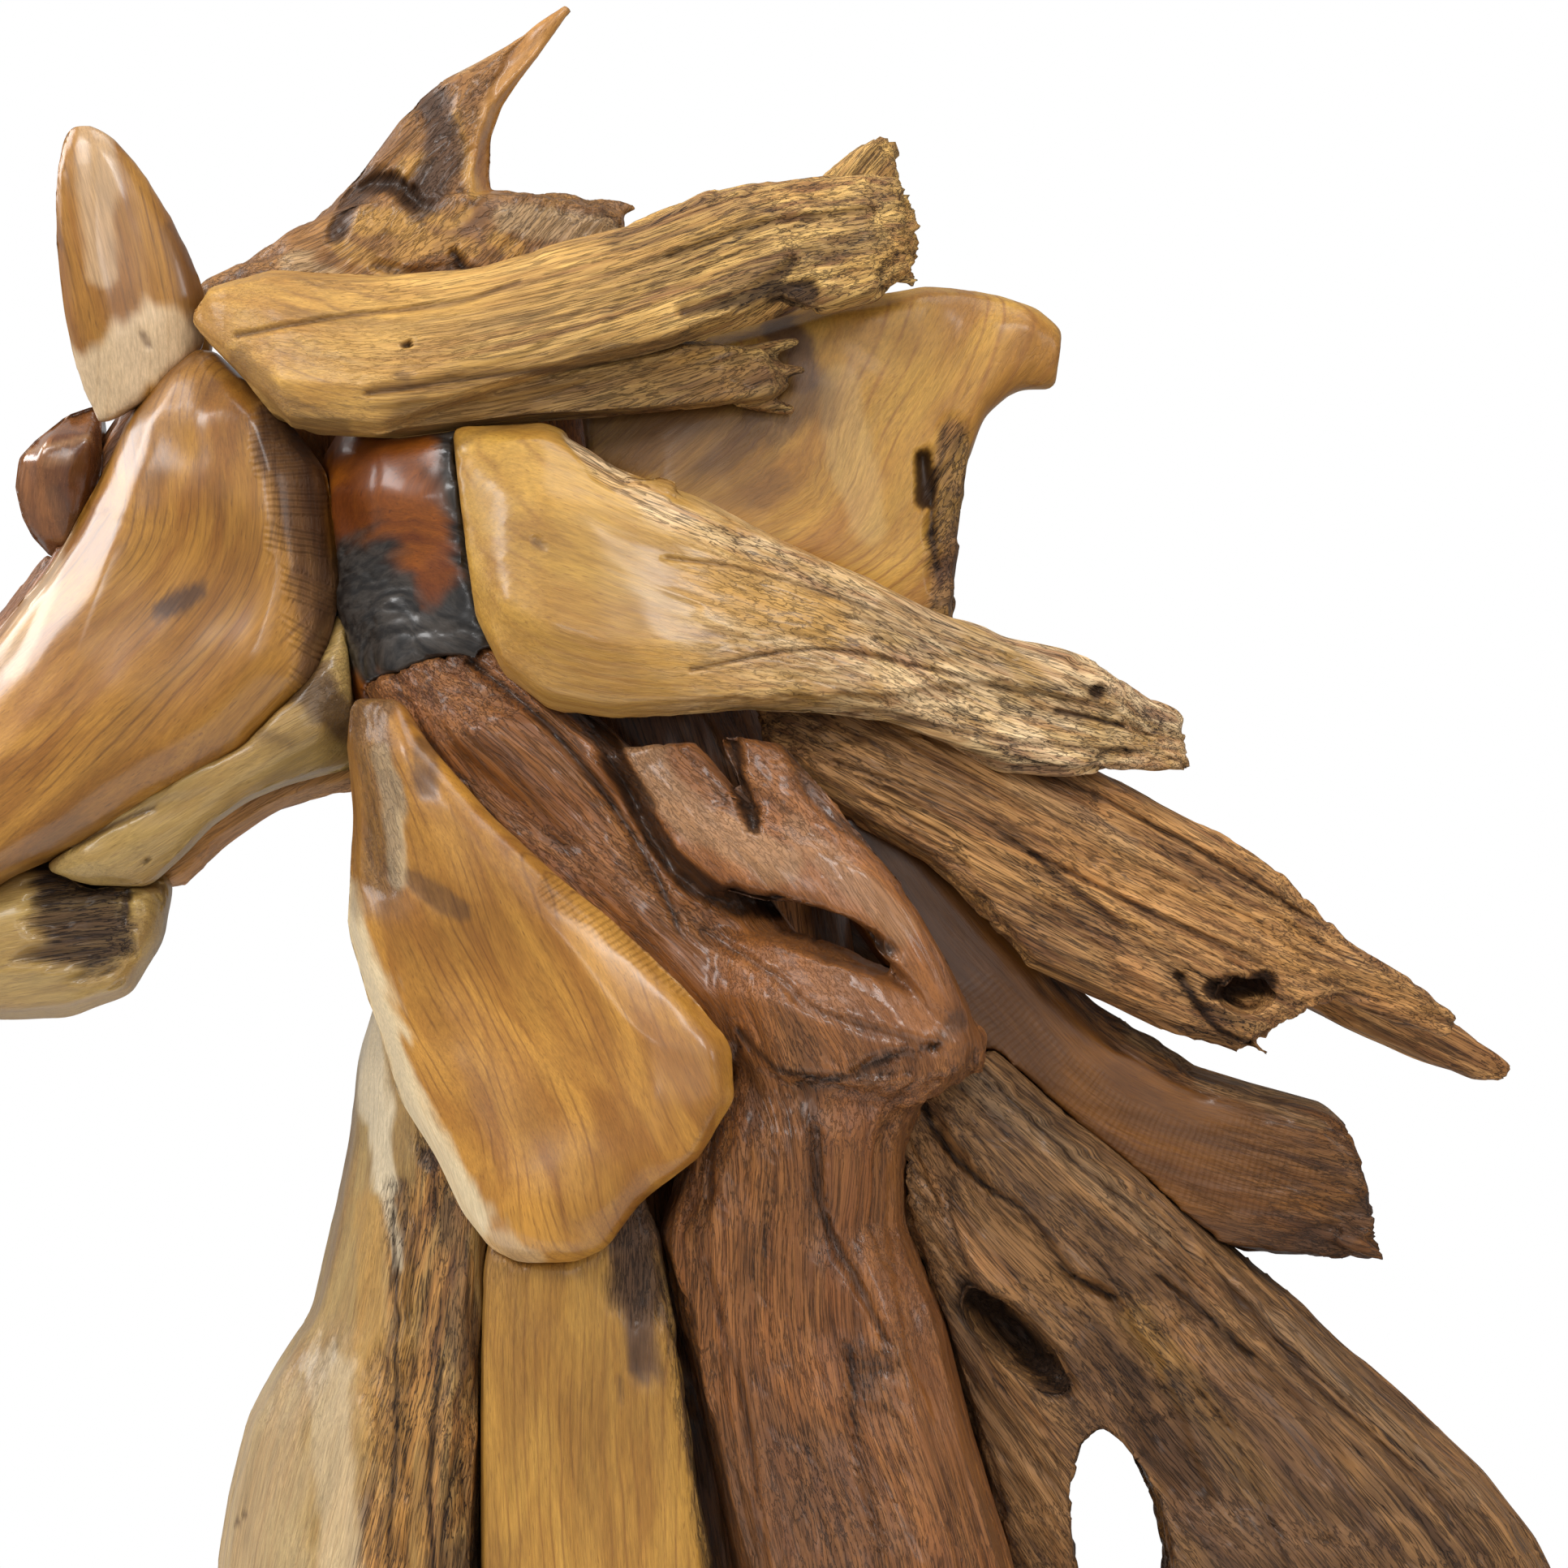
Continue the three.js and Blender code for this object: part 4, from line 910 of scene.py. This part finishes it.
finishPiece(
    "mane_spear", "weathered_brown", triangles=86000,
    grain=[-10, 640, 80, 595, 190, 535, 300, 482, 415, 438], spread=(1, 0.8), worn=[(0, 0.85), (1, 1)],
    split=(4, 12), relief=1.25,
    dark=[
        ([262, 461, 292, 466], 8, 1, 12), ([60, 640, 150, 600, 250, 548, 330, 500], 2.4, 0.7, 4),
        ([30, 600, 110, 572, 180, 520, 240, 470], 2.6, 0.6, 4), ([0, 640, 50, 610, 90, 590], 24, 0.3),
        ([240, 470, 262, 440, 285, 428], 3, 0.9, 6), ([150, 545, 220, 510, 290, 478], 2.4, 0.7, 4)],
    sapwood=[([140, 590, 210, 550], 9, 0.3)],
    steps=[([240, 448, 180, 500, 110, 560, 30, 600], -4, 22)],
    slivers=[((250, 445, -66), (296, 422, -70), 10, 10), ((300, 470, -62), (318, 456, -64), 8, 8)])
finishPiece(
    "mane_slab", "sawn_amber", triangles=34000, grain=[40, 560, 110, 470, 200, 380, 360, 330],
    facets=0.4, worn=[(0, 0.05), (0.72, 0.1), (0.86, 0.6), (1, 1)], split=(0, 13),
    dark=[
        ([130, 400, 210, 330, 320, 300], 14, 0.5), ([60, 570, 100, 490, 150, 420], 30, 0.45),
        ([320, 305, 345, 312, 366, 330], 12, 0.8, 3)],
    sapwood=[([215, 436, 260, 414, 320, 396, 345, 385], 7, 0.45), ([255, 405, 330, 378], 5, 0.35)],
    weather=[([170, 470, 205, 440, 250, 412, 330, 390, 350, 378], 13, 1, 2)],
    sawn=[([120, 440, 200, 370, 300, 345], 34, 0.45)],
    steps=[([345, 372, 290, 388, 250, 400, 205, 428], -4, 14)],
    slivers=[((340, 312, -50), (373, 296, -52), 10, 9)])
finishPiece(
    "neck_root", "oiled_root", triangles=114000,
    grain=[-215, 660, -120, 570, -30, 480, 15, 380, 20, 250, 50, 120, 70, -10],
    worn=[(0, 0.75), (0.3, 0.7), (1, 0.8)], relief=1.15, wander=7,
    dark=[
        ([-190, 662, -140, 620, -90, 555, -62, 500], 3, 0.6, 7),
        ([-165, 668, -125, 630, -80, 560], 2.5, 0.4, 6),
        ([-118, 640, -95, 590, -70, 545, -40, 520, -5, 512], 8, 0.45, 13),
        ([-34, 625, -28, 595, -18, 562], 5, 1, 14),
        ([2, 612, 24, 572, 62, 540, 94, 490, 114, 450], 4, 0.4, 6), ([-30, 522, 20, 508, 62, 488], 6, 1, 8),
        ([-50, 500, -5, 472, 20, 452, 90, 430], 3, 0.4, 4),
        ([-28, 440, -5, 418, 30, 412, 58, 424, 92, 432], 2.2, 0.8, 6),
        ([8, 408, 40, 412, 76, 416], 1.8, 0.7, 4), ([96, 438, 103, 446], 7, 0.8, 2),
        ([-28, 430, -40, 390, -44, 340], 3, 0.5, 5), ([20, 380, 24, 330, 46, 286, 62, 252], 3.5, 0.5, 6),
        ([-45, 300, -20, 200, -10, 110], 3, 0.5, 4), ([40, 250, 44, 190, 60, 120, 64, 60], 3, 0.5, 5),
        # The first mark on the next line, wide and low, is painted shade: the trunk made darker towards the
        # bottom, where the light falls off
        ([-10, 160, 40, 70, 80, 0], 75, 0.55), ([40, 470, 80, 440], 34, 0.25)],
    sapwood=[([-85, 610, -65, 575, -35, 555, 0, 540], 16, 0.5), ([5, 560, 40, 530, 70, 500], 10, 0.3)],
    polish=[
        ([-90, 610, -60, 560, -20, 530, 40, 520, 90, 450], 34, 0.5),
        ([-60, 470, 20, 470, 95, 440], 30, 0.4), ([60, 300, 90, 250, 100, 200], 26, 0.45)],
    steps=[
        ([92, 200, 70, 260, 60, 330, 75, 390], 5, 30), ([-10, 300, 0, 200, 20, 100], 3, 26),
        ([-30, 440, -6, 417, 28, 411, 55, 424, 95, 432], 9, 40),
        ([-100, 600, -75, 552, -45, 522, -5, 515], 10, 30)])
finishPiece(
    "neck_shield", "polished_amber", triangles=34000, round=2, crisp=20,
    grain=[-245, 630, -190, 520, -120, 400, -90, 310], facets=2.2, wander=8,
    dark=[
        ([-256, 640, -250, 580, -246, 522], 24, 0.5), ([-216, 608, -214, 586], 9, 0.75, 0.6),
        ([-222, 530, -206, 518, -192, 512], 8, 0.7, 0.6)],
    sapwood=[
        ([-268, 520, -255, 465, -224, 385, -188, 326], 18, 1), ([-178, 318, -150, 304], 10, 0.4),
        ([-242, 606, -234, 575, -231, 530], 8, 0.6)],
    weather=[([-250, 640, -242, 575, -240, 530], 16, 0.35)],
    sawn=[([-140, 525, -90, 490, -60, 470], 9, 0.7)],
    shapes=[([-180, 470, -140, 390], 50, 5)],
    planes=[
        ([-232, 640, -224, 575, -212, 530, -228, 505], 14, 30),
        ([-248, 515, -230, 450, -205, 385, -168, 330, -120, 306], 16, 30),
        ([-40, 425, -95, 448, -150, 520], 9, 36)])
finishPiece(
    "chest_log", "sapwood_and_bark", triangles=48000, round=4, crisp=12,
    grain=[-240, 460, -225, 360, -235, 240, -260, 100, -265, -10], facets=2.0, worn=[(0, 0.1), (1, 0.2)],
    dark=[
        ([-200, 330, -194, 290, -192, 240], 9, 0.7), ([-190, 130, -192, 60, -196, 0], 8, 0.7),
        ([-216, 363, -214, 360], 7, 0.8, 3), ([-205, 240, -212, 170, -206, 80], 2, 0.7, 5),
        ([-238, 330, -232, 250, -236, 140, -238, 60], 1.6, 0.4, 4), ([-335, 135, -328, 142], 2, 0.7, 2)],
    sapwood=[
        ([-254, 452, -250, 390], 14, 1), ([-248, 400, -241, 345], 9, 1), ([-243, 355, -233, 296], 4.5, 0.9),
        ([-315, 200, -318, 110, -322, 0], 40, 0.22), ([-275, 230, -265, 120, -262, 0], 17, 0.4)],
    ochre=[
        ([-252, 330, -250, 260, -244, 190], 11, 0.5), ([-226, 290, -232, 200, -236, 90], 9, 0.4),
        ([-214, 220, -218, 150, -214, 60], 10, 0.45)],
    weather=[
        ([-205, 370, -205, 300, -200, 200, -200, 110, -200, 0], 26, 1, 4),
        ([-232, 340, -230, 260, -232, 170], 12, 0.8, 2), ([-232, 230, -240, 130, -240, 0], 21, 1, 2)],
    steps=[([-236, 30, -234, 150, -228, 260, -226, 350], 5, 40)])
finishPiece(
    "front_board", "sawn_honey", triangles=22000, grain=[-125, 350, -122, 200, -112, -10],
    facets=0.5, worn=[(0, 0.5), (0.2, 0.1), (1, 0.08)],
    dark=[
        ([-89, 345, -88, 285], 19, 1, 4), ([-88, 300, -86, 240], 10, 1, 2),
        ([-80, 262, -74, 235], 4, 0.7, 1), ([-97, 232, -96, 222], 2.5, 0.6, 1),
        ([-178, 340, -176, 320], 5, 0.5)],
    weather=[([-89, 345, -88, 285], 20, 0.9), ([-72, 300, -60, 210, -44, 110, -32, 0], 6, 1, 2)])
finishPiece(
    "hollow_root", "weathered_root", triangles=106000,
    grain=[90, 410, 160, 340, 260, 240, 370, 120, 440, -10], spread=(0.8, 1.5),
    worn=[(0, 0.95), (1, 0.9)], relief=1.35, wander=6,
    dark=[
        ([82, 398, 96, 370, 120, 345, 150, 325, 172, 292, 200, 275], 2.2, 0.4, 9),
        ([228, 288, 255, 266, 284, 240], 1.8, 0.7, 8), ([258, 300, 300, 250, 348, 205], 1.5, 0.5, 5),
        # The second mark on the next line, wide and low, is painted shade: the root made darker towards the
        # bottom, where the light falls off
        ([116, 276, 142, 254, 168, 224], 11, 0.7, 9), ([270, 190, 340, 90, 420, 10], 62, 0.65),
        ([190, 240, 205, 150, 230, 40], 26, 0.4), ([100, 240, 118, 160, 140, 60], 20, 0.35),
        ([180, 310, 230, 250, 285, 170, 310, 90], 1.8, 0.35, 4),
        ([240, 230, 330, 130, 380, 40], 1.8, 0.3, 3), ([200, 330, 300, 240, 400, 150, 450, 80], 2, 0.5, 4),
        ([120, 415, 170, 365, 240, 310], 2.2, 0.5, 4), ([175, 330, 250, 268, 330, 195], 9, 0.4),
        ([182, 205, 196, 200], 8, 0.4)],
    sapwood=[([300, 262, 360, 205, 420, 150], 7, 0.2), ([100, 420, 160, 372, 230, 315], 10, 0.25)],
    ochre=[([215, 262, 250, 215, 290, 160], 13, 0.4)],
    polish=[([120, 310, 170, 300, 210, 250], 10, 0.4)],
    steps=[
        ([90, 392, 112, 356, 146, 326, 172, 292, 205, 275, 235, 220, 262, 150], 12, 46),
        ([228, 288, 255, 264, 300, 225, 350, 170], 5, 24), ([245, 60, 225, 150, 190, 215], -4, 20)])
finishPiece(
    "far_jaw", "weathered_brown", triangles=6000, far=True,
    grain=[-262, 640, -330, 600, -440, 530], worn=[(0, 0.6), (1, 0.3)])

# The far side is plainer: node, slot, triangles, grain, how worn it is, and its rounding
farPieces = [
    ("far_cheek", "polished_honey", 8000, [-340, 850, -330, 730, -400, 640, -610, 470], 0.0, 20),
    ("far_ear", "polished_honey", 4000, [-395, 800, -405, 880, -432, 980], 0.0, 12),
    ("far_neck_shield", "polished_amber", 7000, [-245, 620, -190, 520, -120, 330], 0.0, 20),
    ("far_crest_plank", "weathered_straw", 14000, [-315, 850, -190, 855, -40, 880, 70, 990], 0.85, 0),
    ("far_mane_plank", "weathered_brown", 10000, [-170, 730, 0, 670, 205, 610], 0.8, 0),
    ("far_mane_spear", "weathered_brown", 14000, [15, 600, 190, 515, 320, 470, 452, 402], 0.95, 0),
    ("far_mane_slab", "sawn_amber", 7000, [-40, 545, 100, 430, 280, 330], 0.4, 0),
    ("far_chest_log", "sapwood_and_bark", 9000, [-200, 490, -200, 300, -240, -10], 0.3, 12),
    ("far_nape", "oiled_root", 6000, [-185, 820, -180, 680, -185, 540], 0.6, 10),
    ("far_neck_root", "oiled_root", 20000, [-120, 700, -60, 500, -50, 300, 0, -10], 0.75, 10),
]
for node, slot, triangles, grain, worn, rounding in farPieces:
    finishPiece(
        node, slot, triangles=triangles, grain=grain, round=rounding,
        worn=[(0, worn), (1, worn)], facets=1.2, far=node != "far_mane_spear",
        split=(3, 9) if "mane" in node or "crest" in node else (0, 0))
print("pieces finished")

# The floor is a plain pale disc, a circle of 96 sides half a millimetre under the foot
stageSizes = {"radius": 0.74, "sides": 96, "tone": (0.86, 0.86, 0.85), "rough": 0.8}
turn = np.linspace(0, 2 * np.pi, stageSizes["sides"], endpoint=False)
rim = np.stack([np.cos(turn), np.sin(turn), 0 * turn], -1) * stageSizes["radius"]
floorMesh = bpy.data.meshes.new("floor")
floorMesh.from_pydata((rim + [0, 0, cadLow[2] - 0.5 * mm]).tolist(), [], [list(range(len(rim)))])
floor = addObject("floor", floorMesh)
floorPaint = bpy.data.materials.new("floorPaint")
floorPaint.use_nodes = True
paint = floorPaint.node_tree.nodes["Principled BSDF"]
paint.inputs["Base Color"].default_value = (*stageSizes["tone"], 1)
paint.inputs["Roughness"].default_value = stageSizes["rough"]
floorMesh.materials.append(floorPaint)

# Soft studio light: where each panel stands, its size and its power. All face the head.
panels = {
    "key": ((-1.6, -1.9, 2.1), 0.9, 34),
    "front": ((0.5, -3.4, 1.4), 1.6, 10),
    "glint": ((0.8, -2.05, 2.05), 0.5, 17),
    "earGlint": ((-0.35, -2.9, 1.15), 0.3, 4),
    "top": ((0.3, -0.6, 2.6), 1.2, 19),
    "side": ((2.2, -1.4, 1.4), 0.7, 10),
    "muzzleSide": ((-2.1, 0.2, 1.8), 1.3, 46),
}
aim = np.array([drawingZero - 0.05, 0, 0.55])
for name, (where, size, power) in panels.items():
    light = bpy.data.lights.new(name, "AREA")
    light.shape, light.size, light.energy = "SQUARE", size, power
    lamp = addObject(name, light)
    lamp.location = where
    back = np.array(where) - aim
    tilt = math.atan2(math.hypot(back[0], back[1]), back[2])
    lamp.rotation_euler = (tilt, 0, math.atan2(back[0], -back[1]))

# The world is white to the camera, and lights the head at a part of that
world = bpy.data.worlds.new("studio")
world.use_nodes = True
background = world.node_tree.nodes["Background"]
background.inputs["Color"].default_value = (1, 1, 1, 1)
worldBuild = Builder(world.node_tree)
seen = worldBuild.node("ShaderNodeLightPath").outputs["Is Camera Ray"]
worldBuild.link(worldBuild.maths("MULTIPLY_ADD", seen, 0.62, 0.38), background.inputs["Strength"])
bpy.context.scene.world = world

# The photograph's view: level, and framed from the top of the forelock to just above the foot
shot = {"across": 0.966, "distance": 3.6, "plane": -0.02, "height": 0.587, "sensor": 36}
cameraData = bpy.data.cameras.new("camera")
cameraData.sensor_width = shot["sensor"]
cameraData.lens = shot["sensor"] * shot["distance"] / shot["across"]
camera = addObject("camera", cameraData)
camera.location = (drawingZero, shot["plane"] - shot["distance"], shot["height"])
camera.rotation_euler = (math.pi / 2, 0, 0)
bpy.context.scene.camera = camera
bpy.context.scene.view_settings.view_transform = "Standard"
print("stage set")
